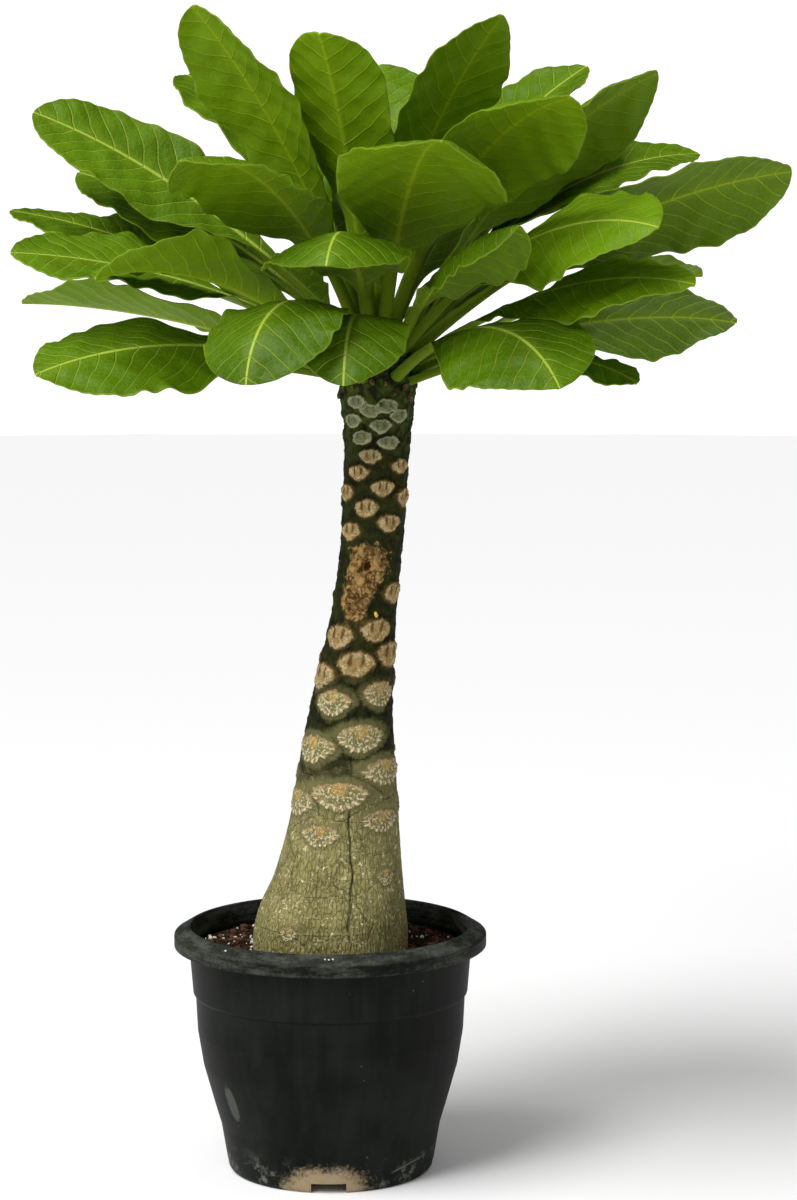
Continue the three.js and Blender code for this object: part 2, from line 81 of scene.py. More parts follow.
# The leaves from the oldest and lowest to the youngest: azimuth, rise at the root, middle and
# tip, length, width, how far the left and right margins turn up, roll, and how sharp the tip is
LEAVES = [
    (245, 45, 35, -85, 190, 84, -15, -25, 0, 0),
    (336, 20, 10, -30, 152, 68, -10, -10, 10, 0.3),
    (138, 8, 0, -15, 200, 74, 10, 10, 0, 0.4),
    (303, 30, 20, -54, 184, 90, -20, -25, 20, 0.5),
    (62, 8, 0, -15, 200, 74, 10, 10, 0, 0.3),
    (206, 18, 6, -22, 202, 88, -5, -15, -30, 0.5),
    (352, 24, 12, -9, 202, 80, -10, -10, -32, 0.6),
    (100, 10, 5, -20, 190, 76, -15, -15, 0, 0.2),
    (263, 40, 28, -80, 158, 64, -15, -15, 0, 0.3),
    (17, 30, 17, 2, 202, 72, 10, 10, -12, 0.5),
    (172, 20, 13, 0, 206, 72, 35, 0, 0, 0.6),
    (326, 31, 22, -12, 208, 76, -10, -15, 22, 0.7),
    (92, 20, 10, -10, 210, 76, 10, 10, 0, 0.4),
    (214, 36, 28, -16, 188, 72, 45, 5, 0, 0.5),
    (297, 47, 32, 0, 180, 60, -65, -65, 0, 0.1),
    (164, 36, 23, 8, 240, 70, 5, 0, -15, 0.5),
    (350, 43, 27, 7, 258, 84, -10, -30, -38, 0.1),
    (45, 35, 25, 5, 220, 76, 10, 10, 0, 0.4),
    (194, 32, 16, 2, 214, 70, -5, 10, -20, 0.5),
    (318, 44, 32, -15, 216, 84, -15, -25, 34, 0.7),
    (120, 30, 20, 0, 210, 76, 10, 10, 0, 0.2),
    (260, 54, 52, -52, 174, 90, -30, -30, 0, 0.1),
    (18, 56, 38, 0, 236, 72, 5, 5, 14, 0.5),
    (160, 46, 31, 14, 214, 74, 10, 10, -25, 0.4),
    (350, 66, 48, 26, 226, 78, -10, -50, -35, 0.3),
    (236, 58, 46, -14, 218, 80, -10, -55, -5, 0.4),
    (70, 40, 30, 15, 218, 76, 10, 10, 0, 0.2),
    (281, 60, 45, -8, 218, 100, -45, -15, 0, 0),
    (112, 55, 42, 20, 215, 74, 10, 10, 0, 0.4),
    (22, 56, 42, 26, 192, 60, 10, 10, 5, 0),
    (255, 71, 60, 42, 204, 60, 0, 25, -2, 0),
    (175, 43, 40, 20, 238, 66, -5, 25, -32, 0.2),
    (306, 62, 46, 5, 224, 84, -10, -50, -28, 0.2),
    (90, 76, 60, 42, 196, 76, 5, 5, 0, 0),
    (221, 68, 57, 42, 225, 66, -15, -50, 0, 0),
    (24, 70, 52, 30, 210, 72, 10, 10, 15, 0.5),
    (270, 78, 72, 66, 70, 18, 25, 25, 0, 0.5),
    (139, 65, 50, 22, 222, 74, 10, 10, -10, 0.1),
    (186, 84, 80, 75, 90, 26, 20, 20, 0, 0.5),
    (70, 85, 70, 55, 145, 54, 10, 10, 0, 0.3),
    (321, 84, 62, 44, 200, 66, -5, -10, -10, 0.5),
]

# Painted light (above 0) and painted shade (below 0) on single leaves, by their number, added to the
# leaf's tint
PAINTED_LEAF_LIGHT_AND_SHADE = {7: -1.3, 12: 0.4, 17: -0.7, 20: 0.4, 25: 0.5, 31: 0.4, 33: 0.6, 35: 0.3}

# The side veins: their spacing along the midrib, their slant, and how they curve to the tip
VEIN_STEP = 12.0
VEIN_SLANT = 0.6
VEIN_CURVE = 0.009

# The beads round an old scar's rim, as waves in a full turn
SCAR_BEADS = 17


def paint(red: int, green: int, blue: int) -> Colour:
    """A screen colour, 0 to 255 a channel, as the linear colour that shaders take.

    Args:
        red: The red channel.
        green: The green channel.
        blue: The blue channel.

    Returns:
        The linear colour with full alpha.
    """

    def linear(channel: int) -> float:
        """One channel in linear light."""
        c = channel / 255
        return c / 12.92 if c <= 0.04045 else ((c + 0.055) / 1.055) ** 2.4

    return (linear(red), linear(green), linear(blue), 1.0)


def smoothstep(x: np.ndarray, low: float, high: float) -> np.ndarray:
    """A smooth rise from 0 at low to 1 at high.

    Args:
        x: The values.
        low: Where the rise starts.
        high: Where it ends.

    Returns:
        The eased shares.
    """
    share = np.clip((x - low) / (high - low), 0, 1)
    return share * share * (3 - 2 * share)


def lerp(low: np.ndarray | Number, high: np.ndarray | Number, share: np.ndarray) -> np.ndarray:
    """The value at a share of the way from low to high."""
    return low + (high - low) * share


def bell(x: np.ndarray, width: np.ndarray | Number) -> np.ndarray:
    """A bump of height 1 about 0."""
    return np.exp(-((x / width) ** 2))


# Shaders


class Wire:
    """A node's output that takes part in Python sums."""

    def __init__(self, graph: "Graph", socket: bpy.types.NodeSocket) -> None:
        """Hold the socket and the graph that new nodes go to."""
        self.graph = graph
        self.socket = socket

    def __add__(self, other: "Wire | Number") -> "Wire":
        """The sum."""
        return self.graph.maths("ADD", self, other)

    def __radd__(self, other: Number) -> "Wire":
        """The sum, with the number first."""
        return self.graph.maths("ADD", other, self)

    def __sub__(self, other: "Wire | Number") -> "Wire":
        """The difference."""
        return self.graph.maths("SUBTRACT", self, other)

    def __rsub__(self, other: Number) -> "Wire":
        """The difference, with the number first."""
        return self.graph.maths("SUBTRACT", other, self)

    def __mul__(self, other: "Wire | Number") -> "Wire":
        """The product."""
        return self.graph.maths("MULTIPLY", self, other)

    def __rmul__(self, other: Number) -> "Wire":
        """The product, with the number first."""
        return self.graph.maths("MULTIPLY", other, self)

    def __truediv__(self, other: "Wire | Number") -> "Wire":
        """The quotient."""
        return self.graph.maths("DIVIDE", self, other)

    def __abs__(self) -> "Wire":
        """The size without its sign."""
        return self.graph.maths("ABSOLUTE", self)


Value = Wire | Number | tuple


class Graph:
    """A material's nodes, added one call at a time."""

    def __init__(self, name: str) -> None:
        """Start an empty material.

        Args:
            name: The material's name.
        """
        self.material = bpy.data.materials.new(name)
        self.material.use_nodes = True
        self.tree = self.material.node_tree
        self.tree.nodes.clear()

    def add(
        self,
        kind: str,
        settings: dict[str, object] | None = None,
        inputs: dict[str | int, Value] | None = None,
        output: str | int = 0,
    ) -> Wire:
        """Add a node.

        Args:
            kind: The node's type.
            settings: Its properties, set first.
            inputs: The values or links of its sockets, by name or number.
            output: Which output to hand back.

        Returns:
            The output as a wire.
        """
        node = self.tree.nodes.new(kind)
        for key, value in (settings or {}).items():
            setattr(node, key, value)
        for key, value in (inputs or {}).items():
            socket = node.inputs[key]
            if isinstance(value, Wire):
                self.tree.links.new(value.socket, socket)
            else:
                socket.default_value = value
        return Wire(self, node.outputs[output] if len(node.outputs) else None)

    def maths(self, operation: str, *values: Value) -> Wire:
        """A Math node on one or two values."""
        return self.add("ShaderNodeMath", {"operation": operation}, dict(enumerate(values)))

    def place(self) -> Wire:
        """The point on the surface, in millimetres."""
        spot = self.add("ShaderNodeTexCoord", output="Object")
        return self.add(
            "ShaderNodeVectorMath", {"operation": "SCALE"}, {0: spot, "Scale": 1 / MM}
        )

    def stretch(self, vector: Wire, scale: tuple[float, float, float]) -> Wire:
        """A vector with each axis scaled."""
        return self.add("ShaderNodeVectorMath", {"operation": "MULTIPLY"}, {0: vector, 1: scale})

    def split(self, vector: Wire) -> tuple[Wire, Wire, Wire]:
        """A vector's three parts.

        Args:
            vector: The vector.

        Returns:
            Its X, Y and Z.
        """
        parts = self.add("ShaderNodeSeparateXYZ", inputs={0: vector}).socket.node.outputs
        return Wire(self, parts[0]), Wire(self, parts[1]), Wire(self, parts[2])

    def mark(self, name: str) -> Wire:
        """What the mesh holds under a name, as a vector."""
        return self.add("ShaderNodeAttribute", {"attribute_name": name}, output="Vector")

    def rise(self, value: Wire, low: Value, high: Value) -> Wire:
        """0 under low, 1 over high, and smooth between.

        Args:
            value: What is measured.
            low: Where the rise starts.
            high: Where it ends.

        Returns:
            The mask.
        """
        return self.add(
            "ShaderNodeMapRange",
            {"interpolation_type": "SMOOTHSTEP"},
            {"Value": value, "From Min": low, "From Max": high},
        )

    def mix(self, first: Value, second: Value, share: Value) -> Wire:
        """A colour between two others.

        Args:
            first: The colour at share 0.
            second: The colour at share 1.
            share: How much of the second.

        Returns:
            The mixed colour.
        """
        return self.add(
            "ShaderNodeMix", {"data_type": "RGBA"}, {0: share, 6: first, 7: second}, output=2
        )

    def length(self, x: Wire, y: Wire) -> Wire:
        """The length of a flat vector."""
        return self.maths("SQRT", x * x + y * y)

    def clouds(self, where: Wire, size: float, detail: float = 3, rough: float = 0.55) -> Wire:
        """Soft noise from 0 to 1.

        Args:
            where: The point, in millimetres.
            size: The width of a patch, in millimetres.
            detail: How many finer layers are added.
            rough: How strong the finer layers are.

        Returns:
            The noise.
        """
        return self.add(
            "ShaderNodeTexNoise",
            inputs={"Vector": where, "Scale": 1 / size, "Detail": detail, "Roughness": rough},
        )

    def cells(self, where: Wire, size: float, feature: str = "F1") -> Wire:
        """The distance to the nearest cell's middle or edge.

        Args:
            where: The point, in millimetres.
            size: The width of a cell, in millimetres.
            feature: F1 for the middle, DISTANCE_TO_EDGE for the edge.

        Returns:
            The distance as a share of a cell.
        """
        return self.add(
            "ShaderNodeTexVoronoi",
            {"feature": feature},
            {"Vector": where, "Scale": 1 / size},
            output="Distance",
        )

    def bump(self, height: Wire, depth: float, strength: float = 1.0) -> Wire:
        """A normal from a height of 0 to 1.

        Args:
            height: The height.
            depth: What a height of 1 stands for, in millimetres.
            strength: How much of the effect is kept.

        Returns:
            The normal.
        """
        return self.add(
            "ShaderNodeBump",
            inputs={"Height": height, "Distance": depth * MM, "Strength": strength},
        )

    def finish(self, **sockets: Value) -> bpy.types.Material:
        """Close the graph with a surface.

        Args:
            sockets: The surface's sockets, with _ for a space in their names.

        Returns:
            The material.
        """
        inputs = {key.replace("_", " "): value for key, value in sockets.items()}
        surface = self.add("ShaderNodeBsdfPrincipled", inputs=inputs)
        self.add("ShaderNodeOutputMaterial", inputs={0: surface})
        return self.material


@dataclass(frozen=True)
class LeafFinish:
    """Fleshy leaf skin: green above, olive below, with pale veins, a thin pale margin, and painted
    light and shade on single leaves.
    """

    name: str = "leaf_skin"
    fresh: Colour = paint(98, 134, 0)
    deep: Colour = paint(44, 74, 0)
    under: Colour = paint(110, 144, 0)
    under_deep: Colour = paint(60, 90, 0)
    rib: Colour = paint(172, 194, 70)
    rib_under: Colour = paint(152, 176, 20)
    edge: Colour = paint(118, 140, 30)
    stalk: Colour = paint(70, 90, 0)
    patch_size: float = 45.0
    grain_size: float = 3.5
    quilt_size: float = 9.0
    net_size: float = 3.2
    vein_wander: float = 11.0
    vein_half: tuple[float, float] = (0.15, 0.85)
    margin_line: tuple[float, float] = (0.965, 0.995)
    relief: float = 1.1

    def material(self) -> bpy.types.Material:
        """Build the finish."""
        g = Graph(self.name)
        where = g.place()
        along, across, above = g.split(g.mark("blade"))
        share, margin, tint_and_painted_light = g.split(g.mark("form"))
        far = abs(across)
        patches = g.clouds(where, self.patch_size, 2)
        grain = g.clouds(where, self.grain_size, 4)
        wander = (g.clouds(where, 28, 1) - 0.5) * self.vein_wander
        phase = (along - far * VEIN_SLANT - far * far * VEIN_CURVE + wander) / VEIN_STEP
        off = abs(g.maths("FRACT", phase) - 0.5) * VEIN_STEP
        inner = g.rise(share, 0.02, 0.16)
        out = 1 - g.rise(abs(margin), 0.75, 1.0)
        vein = (1 - g.rise(off, *self.vein_half)) * inner * (0.3 + out * 0.7)
        half_rib = 2.3 - share * 1.7
        rib = 1 - g.rise(far, half_rib * 0.5, half_rib * 1.25)
        glow = (1 - g.rise(far, 1.0, 9.0)) * 0.35
        net = 1 - g.rise(g.cells(where, self.net_size, "DISTANCE_TO_EDGE"), 0.02, 0.12)
        edge = g.rise(abs(margin), *self.margin_line) * inner

        outer = g.rise(share, 0.0, 0.6)
        # The tint carries the painted light and painted shade set on single leaves into both faces'
        # green
        top = patches * 0.8 + tint_and_painted_light * 0.5 + grain * 0.3 + outer * 0.35 - 0.55
        top = g.mix(self.deep, self.fresh, top)
        top = g.mix(top, self.rib, vein * 0.34 + glow * 0.2 + net * 0.07)
        top = g.mix(top, self.rib, rib * 0.8)
        below = patches * 0.7 + tint_and_painted_light * 0.4 + grain * 0.2 + outer * 0.3 - 0.25
        below = g.mix(self.under_deep, self.under, below)
        below = g.mix(below, self.rib_under, vein * 0.62 + glow * 0.4 + net * 0.1)
        below = g.mix(below, self.rib_under, rib * 0.6)
        colour = g.mix(below, top, above)
        colour = g.mix(colour, self.edge, edge * 0.7)
        colour = g.mix(colour, self.stalk, (1 - inner) * 0.8)
        height = vein * (0.5 - above) + net * 0.15 * (0.5 - above) + grain * 0.12
        height = height + g.clouds(where, self.quilt_size, 3) * 0.9
        return g.finish(
            Base_Color=colour,
            Roughness=0.34 + grain * 0.2 + (1 - above) * 0.14 + (1 - inner) * 0.3,
            Normal=g.bump(height, self.relief, 0.9),
            Subsurface_Weight=0.15,
            Subsurface_Radius=(0.5, 1.0, 0.1),
            Subsurface_Scale=0.0025,
            Specular_IOR_Level=0.16,
        )


@dataclass(frozen=True)
class BarkFinish:
    """The trunk's skin: smooth and finely cracked below, dark green between tan scars above."""

    name: str = "trunk_skin"
    olive: Colour = paint(164, 155, 101)
    olive_dark: Colour = paint(102, 98, 56)
    crack: Colour = paint(50, 50, 24)
    speckle: Colour = paint(226, 214, 164)
    green: Colour = paint(48, 52, 13)
    green_dark: Colour = paint(16, 20, 4)
    brown: Colour = paint(96, 70, 34)
    tan: Colour = paint(214, 192, 142)
    tan_dark: Colour = paint(146, 116, 68)
    bundle: Colour = paint(78, 52, 26)
    orange: Colour = paint(200, 158, 84)
    bead: Colour = paint(238, 228, 186)
    halo: Colour = paint(118, 116, 74)
    moss: Colour = paint(112, 124, 90)
    moss_rim: Colour = paint(158, 168, 138)
    dry: Colour = paint(158, 122, 66)
    moss_green: Colour = paint(74, 92, 28)
    pit: Colour = paint(60, 30, 12)
    callus: Colour = paint(104, 78, 40)
    ochre: Colour = paint(176, 142, 86)
    dark_from: tuple[float, float] = (206, 262)
    old_below: tuple[float, float] = (286, 310)
    young_from: tuple[float, float] = (428, 448)
    moss_from: tuple[float, float] = (425, 465)

    def material(self) -> bpy.types.Material:
        """Build the finish."""
        g = Graph(self.name)
        where = g.place()
        _, _, z = g.split(where)
        aside, down, off = g.split(g.mark("scar"))
        _, wound, crease = g.split(g.mark("zone"))
        long = g.stretch(where, (1, 1, 0.28))
        soft = g.clouds(where, 22, 3)
        fine = g.clouds(where, 2.2, 4, 0.65)
        mottled = g.clouds(where, 6, 4, 0.6)
        cracks = 1 - g.rise(g.cells(long, 2.4, "DISTANCE_TO_EDGE"), 0.02, 0.16)
        specks = 1 - g.rise(g.cells(where, 2.6), 0.14, 0.34)
        specks = specks * g.rise(g.clouds(where, 10, 3), 0.44, 0.6)
        low = g.mix(self.olive_dark, self.olive, g.rise(soft * 0.5 + fine * 0.6, 0.3, 0.75))
        bare = g.rise(g.clouds(where, 13, 3, 0.6), 0.42, 0.58)
        lichen = g.rise(g.clouds(where, 2.6, 3, 0.6), 0.56, 0.62) * bare
        low = g.mix(low, self.crack, cracks * (0.12 + 0.25 * (1 - bare)))
        low = g.mix(low, self.speckle, specks * 0.4 + lichen * 0.8)
        dark = g.mix(self.green_dark, self.green, g.rise(mottled * 0.6 + soft * 0.4, 0.36, 0.66))
        dark = g.mix(dark, self.brown, g.rise(g.clouds(long, 5, 4, 0.7), 0.54, 0.72) * 0.2)
        mossy = g.rise(z, *self.moss_from) * g.rise(mottled, 0.4, 0.6)
        dark = g.mix(dark, self.moss_green, mossy * 0.5)
        turn = g.rise(z + (mottled - 0.5) * 50, *self.dark_from)
        ground = g.mix(low, dark, turn)
        # Darkens the skin in a line along the crease down the trunk's front
        split = crease * (0.4 + mottled) + (fine - 0.5) * 0.6 * crease
        ground = g.mix(ground, self.green_dark, g.rise(split, 0.2, 0.8) * 0.85)

        young = g.rise(z, *self.young_from)
        old = 1 - g.rise(z, *self.old_below)
        ragged = off + (fine - 0.5) * 0.35 + (mottled - 0.5) * 0.25
        halo = (1 - g.rise(ragged, 1.05, 1.5)) * old
        ground = g.mix(ground, self.halo, halo * 0.7)
        face = 1 - g.rise(ragged, 0.84, 0.96)
        grit = 1 - g.rise(g.cells(where, 1.9, "DISTANCE_TO_EDGE"), 0.03, 0.2)
        paper = g.mix(self.tan_dark, self.tan, g.rise(fine * 0.7 + mottled * 0.5, 0.42, 0.7))
        paper = g.mix(paper, self.bundle, grit * 0.3)
        heartwood = 1 - g.rise(off + (mottled - 0.5) * 0.5, 0.25, 0.72)
        paper = g.mix(paper, self.dry, heartwood * 0.55)
        lichened = g.mix(self.moss, self.moss_rim, g.rise(off + (fine - 0.5) * 0.5, 0.5, 0.85))
        paper = g.mix(paper, lichened, young * 0.85)
        flecks = g.rise(g.clouds(where, 1.5, 2, 0.6), 0.5, 0.6)
        worn = g.mix(self.halo, self.bead, flecks * 0.75)
        paper = g.mix(paper, worn, old * (1 - g.rise(off, 0.55, 0.75) * 0.6) * 0.85)
        rim = g.rise(off, 0.58, 0.8) * (1 - g.rise(down, -0.1, 0.45))
        spokes = g.maths("SINE", g.maths("ARCTAN2", down, aside) * SCAR_BEADS)
        beads = g.rise(spokes + (fine - 0.5) * 1.5, -0.1, 0.6) * rim * old
        paper = g.mix(paper, self.bead, beads * 0.9)
        heart = 1 - g.rise(g.length(aside * 1.6, down - 0.35) + (fine - 0.5) * 0.5, 0.25, 0.5)
        paper = g.mix(paper, self.orange, heart * old * 0.55)
        prong = abs(abs(aside) - 0.28 + (mottled - 0.5) * 0.3)
        prongs = (1 - g.rise(prong, 0.03, 0.13)) * g.rise(down + fine * 0.4, -0.1, 0.2)
        prongs = prongs * (1 - g.rise(down, 0.45, 0.8)) * (1 - old)
        paper = g.mix(paper, self.bundle, prongs * (0.3 + fine) * (1 - young * 0.6))
        ring = g.rise(ragged, 0.72, 0.9) * (1 - g.rise(ragged, 0.96, 1.12))
        colour = g.mix(ground, paper, face)
        colour = g.mix(colour, self.brown, ring * 0.6 * (1 - old * 0.6) * (1 - young * 0.7))
        bark = g.mix(self.callus, self.ochre, g.rise(fine * 0.5 + mottled * 0.5, 0.42, 0.6))
        folds = 1 - g.rise(abs(g.clouds(where, 11, 3, 0.55) - 0.5), 0.006, 0.05)
        bark = g.mix(bark, self.pit, folds * 0.8)
        colour = g.mix(colour, bark, g.rise(wound + (mottled - 0.5) * 0.6, 0.15, 0.4))
        colour = g.mix(colour, self.pit, g.rise(wound, 1.1, 1.5))
        height = fine * 0.5 + mottled * 0.4 - cracks * 0.5 * (1 - turn) + beads * 0.6
        height = height + face * 0.3 - prongs * 0.5 + lichen * 0.4 - grit * face * 0.3
        return g.finish(
            Base_Color=colour,
            Roughness=0.62 + fine * 0.25,
            Normal=g.bump(height, 1.0, 1.0),
            Specular_IOR_Level=0.12,
        )


@dataclass(frozen=True)
class PotFinish:
    """Black recycled nursery plastic: scuffed, dusty and stained by dry mud at its foot, with a
    painted highlight on the rim and painted shade along the step in its wall.
    """

    name: str = "pot_plastic"
    black: Colour = paint(6, 9, 6)
    grey: Colour = paint(24, 28, 23)
    dust_and_rim_highlight: Colour = paint(104, 106, 98)
    mud: Colour = paint(170, 150, 118)
    band_from: tuple[float, float] = (136.5, 139)
    lip_from: tuple[float, float] = (144, 146)
    step: float = 107.6
    foot: tuple[float, float] = (6, 24)
    rub: tuple[float, float] = (-58, 50)
    stain: tuple[float, float] = (-2, 1)

    def material(self) -> bpy.types.Material:
        """Build the finish."""
        g = Graph(self.name)
        where = g.place()
        x, y, z = g.split(where)
        soft = g.clouds(where, 60, 4, 0.6)
        fine = g.clouds(where, 2.5, 5, 0.7)
        streak = g.clouds(g.stretch(where, (1, 1, 0.15)), 9, 3, 0.6)
        colour = g.mix(self.black, self.grey, g.rise(soft * 0.7 + streak * 0.4, 0.4, 0.75))
        specks = 1 - g.rise(g.cells(where, 7), 0.05, 0.12)
        colour = g.mix(colour, self.dust_and_rim_highlight, specks * g.rise(g.clouds(where, 25, 3), 0.5, 0.62) * 0.4)
        # Rub wear and painted highlight: the rim band and its lip are lightened towards the pale
        # dust colour
        rub_and_highlight_streaks = g.clouds(g.stretch(where, (0.35, 0.35, 1.6)), 8, 4, 0.65)
        worn = g.rise(z, *self.band_from) * g.rise(rub_and_highlight_streaks * 0.8 + fine * 0.3, 0.45, 0.75)
        worn = worn + g.rise(z, *self.lip_from) * fine * 0.6
        colour = g.mix(colour, self.dust_and_rim_highlight, worn * 0.4)
        foot = 1 - g.rise(z + (fine - 0.5) * 14, *self.foot)
        scuffs = g.rise(g.clouds(where, 14, 5, 0.75) + fine * 0.2, 0.6, 0.74) * foot
        front = 1 - g.rise(y, -40, -25)
        aside, above = x - self.rub[0], z - self.rub[1]
        rub = g.length((aside + above * 0.3) / 3.2, above / 12) + (fine - 0.5) * 0.8
        scuffs = scuffs + (1 - g.rise(rub, 0.75, 1.05)) * front * 0.45
        bend = abs(z - 12 - (x - 44) * 0.22 + (x - 50) * (x - 50) * 0.006)
        scratch = (1 - g.rise(bend, 0.3, 0.8)) * g.rise(x, 36, 40) * (1 - g.rise(x, 60, 64))
        colour = g.mix(colour, self.dust_and_rim_highlight, scuffs * 0.85)
        # Painted shade: a dark line along the step in the wall
        step_shade = 1 - g.rise(abs(z - self.step), 0.3, 0.9)
        colour = g.mix(colour, self.black, step_shade * 0.8)
        colour = g.mix(colour, self.dust_and_rim_highlight, scratch * front * 0.6)
        aside, above = x - self.stain[0], z - self.stain[1]
        spread = g.length(aside / 29, above / 17) + (fine - 0.5) * 0.9
        spread = spread + (g.clouds(where, 10, 3) - 0.5) * 0.5
        stain = (1 - g.rise(spread, 0.6, 1.05)) * front
        colour = g.mix(colour, self.mud, stain * (0.55 + fine * 0.5))
        height = fine * 0.3 + scuffs * 0.2 + stain * 0.5
        return g.finish(
            Base_Color=colour,
            Roughness=0.46 + soft * 0.16 + worn * 0.15 + stain * 0.3,
            Normal=g.bump(height, 0.25, 0.7),
            Specular_IOR_Level=0.09,
        )


@dataclass(frozen=True)
class GroundFinish:
    """A crumbly finish in two colours, for soil, bark bits and perlite."""

    name: str
    first: Colour
    second: Colour
    grain: float
    depth: float
    roughness: float = 0.9

    def material(self) -> bpy.types.Material:
        """Build the finish."""
        g = Graph(self.name)
        where = g.place()
        coarse = g.clouds(where, self.grain * 4, 3)
        fine = g.clouds(where, self.grain, 4, 0.7)
        colour = g.mix(self.first, self.second, g.rise(coarse * 0.6 + fine * 0.6, 0.4, 0.8))
        return g.finish(
            Base_Color=colour,
            Roughness=self.roughness - fine * 0.1,
            Normal=g.bump(fine, self.depth),
            Specular_IOR_Level=0.15,
        )


class Ground(Enum):
    """What lies loose or dried on the plant and its soil."""

    PEAT = GroundFinish("peat", paint(20, 13, 8), paint(52, 36, 24), 2.5, 1.2)
    BARK = GroundFinish("bark", paint(40, 24, 16), paint(98, 66, 44), 1.8, 0.5)
    PERLITE = GroundFinish("perlite", paint(196, 190, 176), paint(232, 228, 216), 0.8, 0.3, 0.8)
    SAP = GroundFinish("sap", paint(214, 178, 60), paint(240, 216, 116), 2.0, 0.2, 0.5)
    HUSK = GroundFinish("husk", paint(46, 38, 20), paint(104, 88, 50), 1.5, 0.4)


@dataclass(frozen=True)
class StudioFinish:
    """The pale paper that the plant stands on, or the dome, which glows by itself."""

    name: str = "studio_paper"
    glow: float = 0.0
    white: Colour = (0.9, 0.9, 0.9, 1.0)

    def material(self) -> bpy.types.Material:
        """Build the finish."""
        g = Graph(self.name)
        return g.finish(
            Base_Color=self.white,
            Roughness=0.9,
            Specular_IOR_Level=0.0,
            Emission_Color=self.white,
            Emission_Strength=self.glow,
        )


# Meshes


def put_in_scene(name: str, data: bpy.types.ID) -> bpy.types.Object:
    """A new object in the scene.

    Args:
        name: Its name.
        data: What it holds: a mesh, a light or a camera.

    Returns:
        The object.
    """
    made = bpy.data.objects.new(name, data)
    bpy.context.scene.collection.objects.link(made)
    return made


def tube_faces(rows: int, columns: int) -> np.ndarray:
    """The four-sided faces round a stack of closed loops.

    Args:
        rows: How many loops.
        columns: How many points in a loop.

    Returns:
        The corners of each face.
    """
    row = np.arange(rows - 1)[:, None] * columns
    here = np.arange(columns)[None, :]
    beside = (here + 1) % columns
    corners = [row + here, row + beside, row + beside + columns, row + here + columns]
    return np.stack(corners, axis=-1).reshape(-1, 4)


@dataclass
class Skin:
    """A mesh in the making: points in millimetres, faces, and what its finish reads."""

    points: np.ndarray
    faces: list[np.ndarray]
    marks: dict[str, np.ndarray] = field(default_factory=dict)

    def build(self, name: str, material: bpy.types.Material) -> bpy.types.Object:
        """Make the object.

        Args:
            name: The piece's name.
            material: Its finish.

        Returns:
            The object, smooth shaded.
        """
        mesh = bpy.data.meshes.new(name)
        corners = np.concatenate([f.ravel() for f in self.faces])
        sizes = np.concatenate([np.full(len(f), f.shape[1]) for f in self.faces])
        mesh.vertices.add(len(self.points))
        mesh.vertices.foreach_set("co", (self.points * MM).astype(np.float32).ravel())
        mesh.loops.add(len(corners))
        mesh.loops.foreach_set("vertex_index", corners.astype(np.int32))
        mesh.polygons.add(len(sizes))
        starts = np.concatenate([[0], np.cumsum(sizes)[:-1]]).astype(np.int32)
        mesh.polygons.foreach_set("loop_start", starts)
        mesh.polygons.foreach_set("use_smooth", np.ones(len(sizes), dtype=bool))
        mesh.update(calc_edges=True)
        for key, values in self.marks.items():
            data = mesh.attributes.new(key, "FLOAT_VECTOR", "POINT").data
            data.foreach_set("vector", values.astype(np.float32).ravel())
        mesh.materials.append(material)
        return put_in_scene(name, mesh)


def closed(grid: np.ndarray, ends: list) -> Skin:
    """A stack of loops, closed by a point at each end.

    Args:
        grid: The loops' points, by loop and column.
        ends: The point before the first loop and the one after the last.

    Returns:
        The skin, with the two end points last.
    """
    rows, columns = grid.shape[:2]
    here = np.arange(columns)
    beside = (here + 1) % columns
    first = np.stack([np.full(columns, rows * columns), beside, here], axis=-1)
    top = (rows - 1) * columns
    last = np.stack([np.full(columns, rows * columns + 1), top + here, top + beside], axis=-1)
    points = np.vstack([grid.reshape(-1, 3), np.array(ends, float)])
    return Skin(points, [tube_faces(rows, columns), first, last])


def turned(profile: list[tuple[float, float]], columns: int) -> Skin:
    """A profile that starts and ends on the axis, turned about Z.

    Args:
        profile: Radius and height, counter-clockwise seen with the axis on the left.
        columns: How many points round.

    Returns:
        The skin, with single points where the profile meets the axis.
    """
    inner = np.array(profile[1:-1], float)
    angles = np.linspace(0, 2 * math.pi, columns, endpoint=False)
    x = inner[:, :1] * np.cos(angles)
    y = inner[:, :1] * np.sin(angles)
    z = np.repeat(inner[:, 1:], columns, axis=1)
    ends = [[0, 0, profile[0][1]], [0, 0, profile[-1][1]]]
    return closed(np.stack([x, y, z], axis=-1), ends)


def softened(profile: list[tuple[float, float]], fillet: float) -> list[tuple[float, float]]:
    """A profile with a small round at each inner corner.

    Args:
        profile: The corners, in order.
        fillet: How far from a corner its round starts.

    Returns:
        The rounded profile.
    """
    corners = [np.array(p, float) for p in profile]
    out = [tuple(corners[0])]
    for before, corner, after in zip(corners, corners[1:], corners[2:]):
        back = before - corner
        on = after - corner
        start = corner + back * min(fillet / np.linalg.norm(back), 0.42)
        end = corner + on * min(fillet / np.linalg.norm(on), 0.42)
        for share in (0.0, 0.33, 0.67, 1.0):
            near = start * (1 - share) + corner * share
            out.append(tuple(near * (1 - share) + (corner * (1 - share) + end * share) * share))
    out.append(tuple(corners[-1]))
    return out


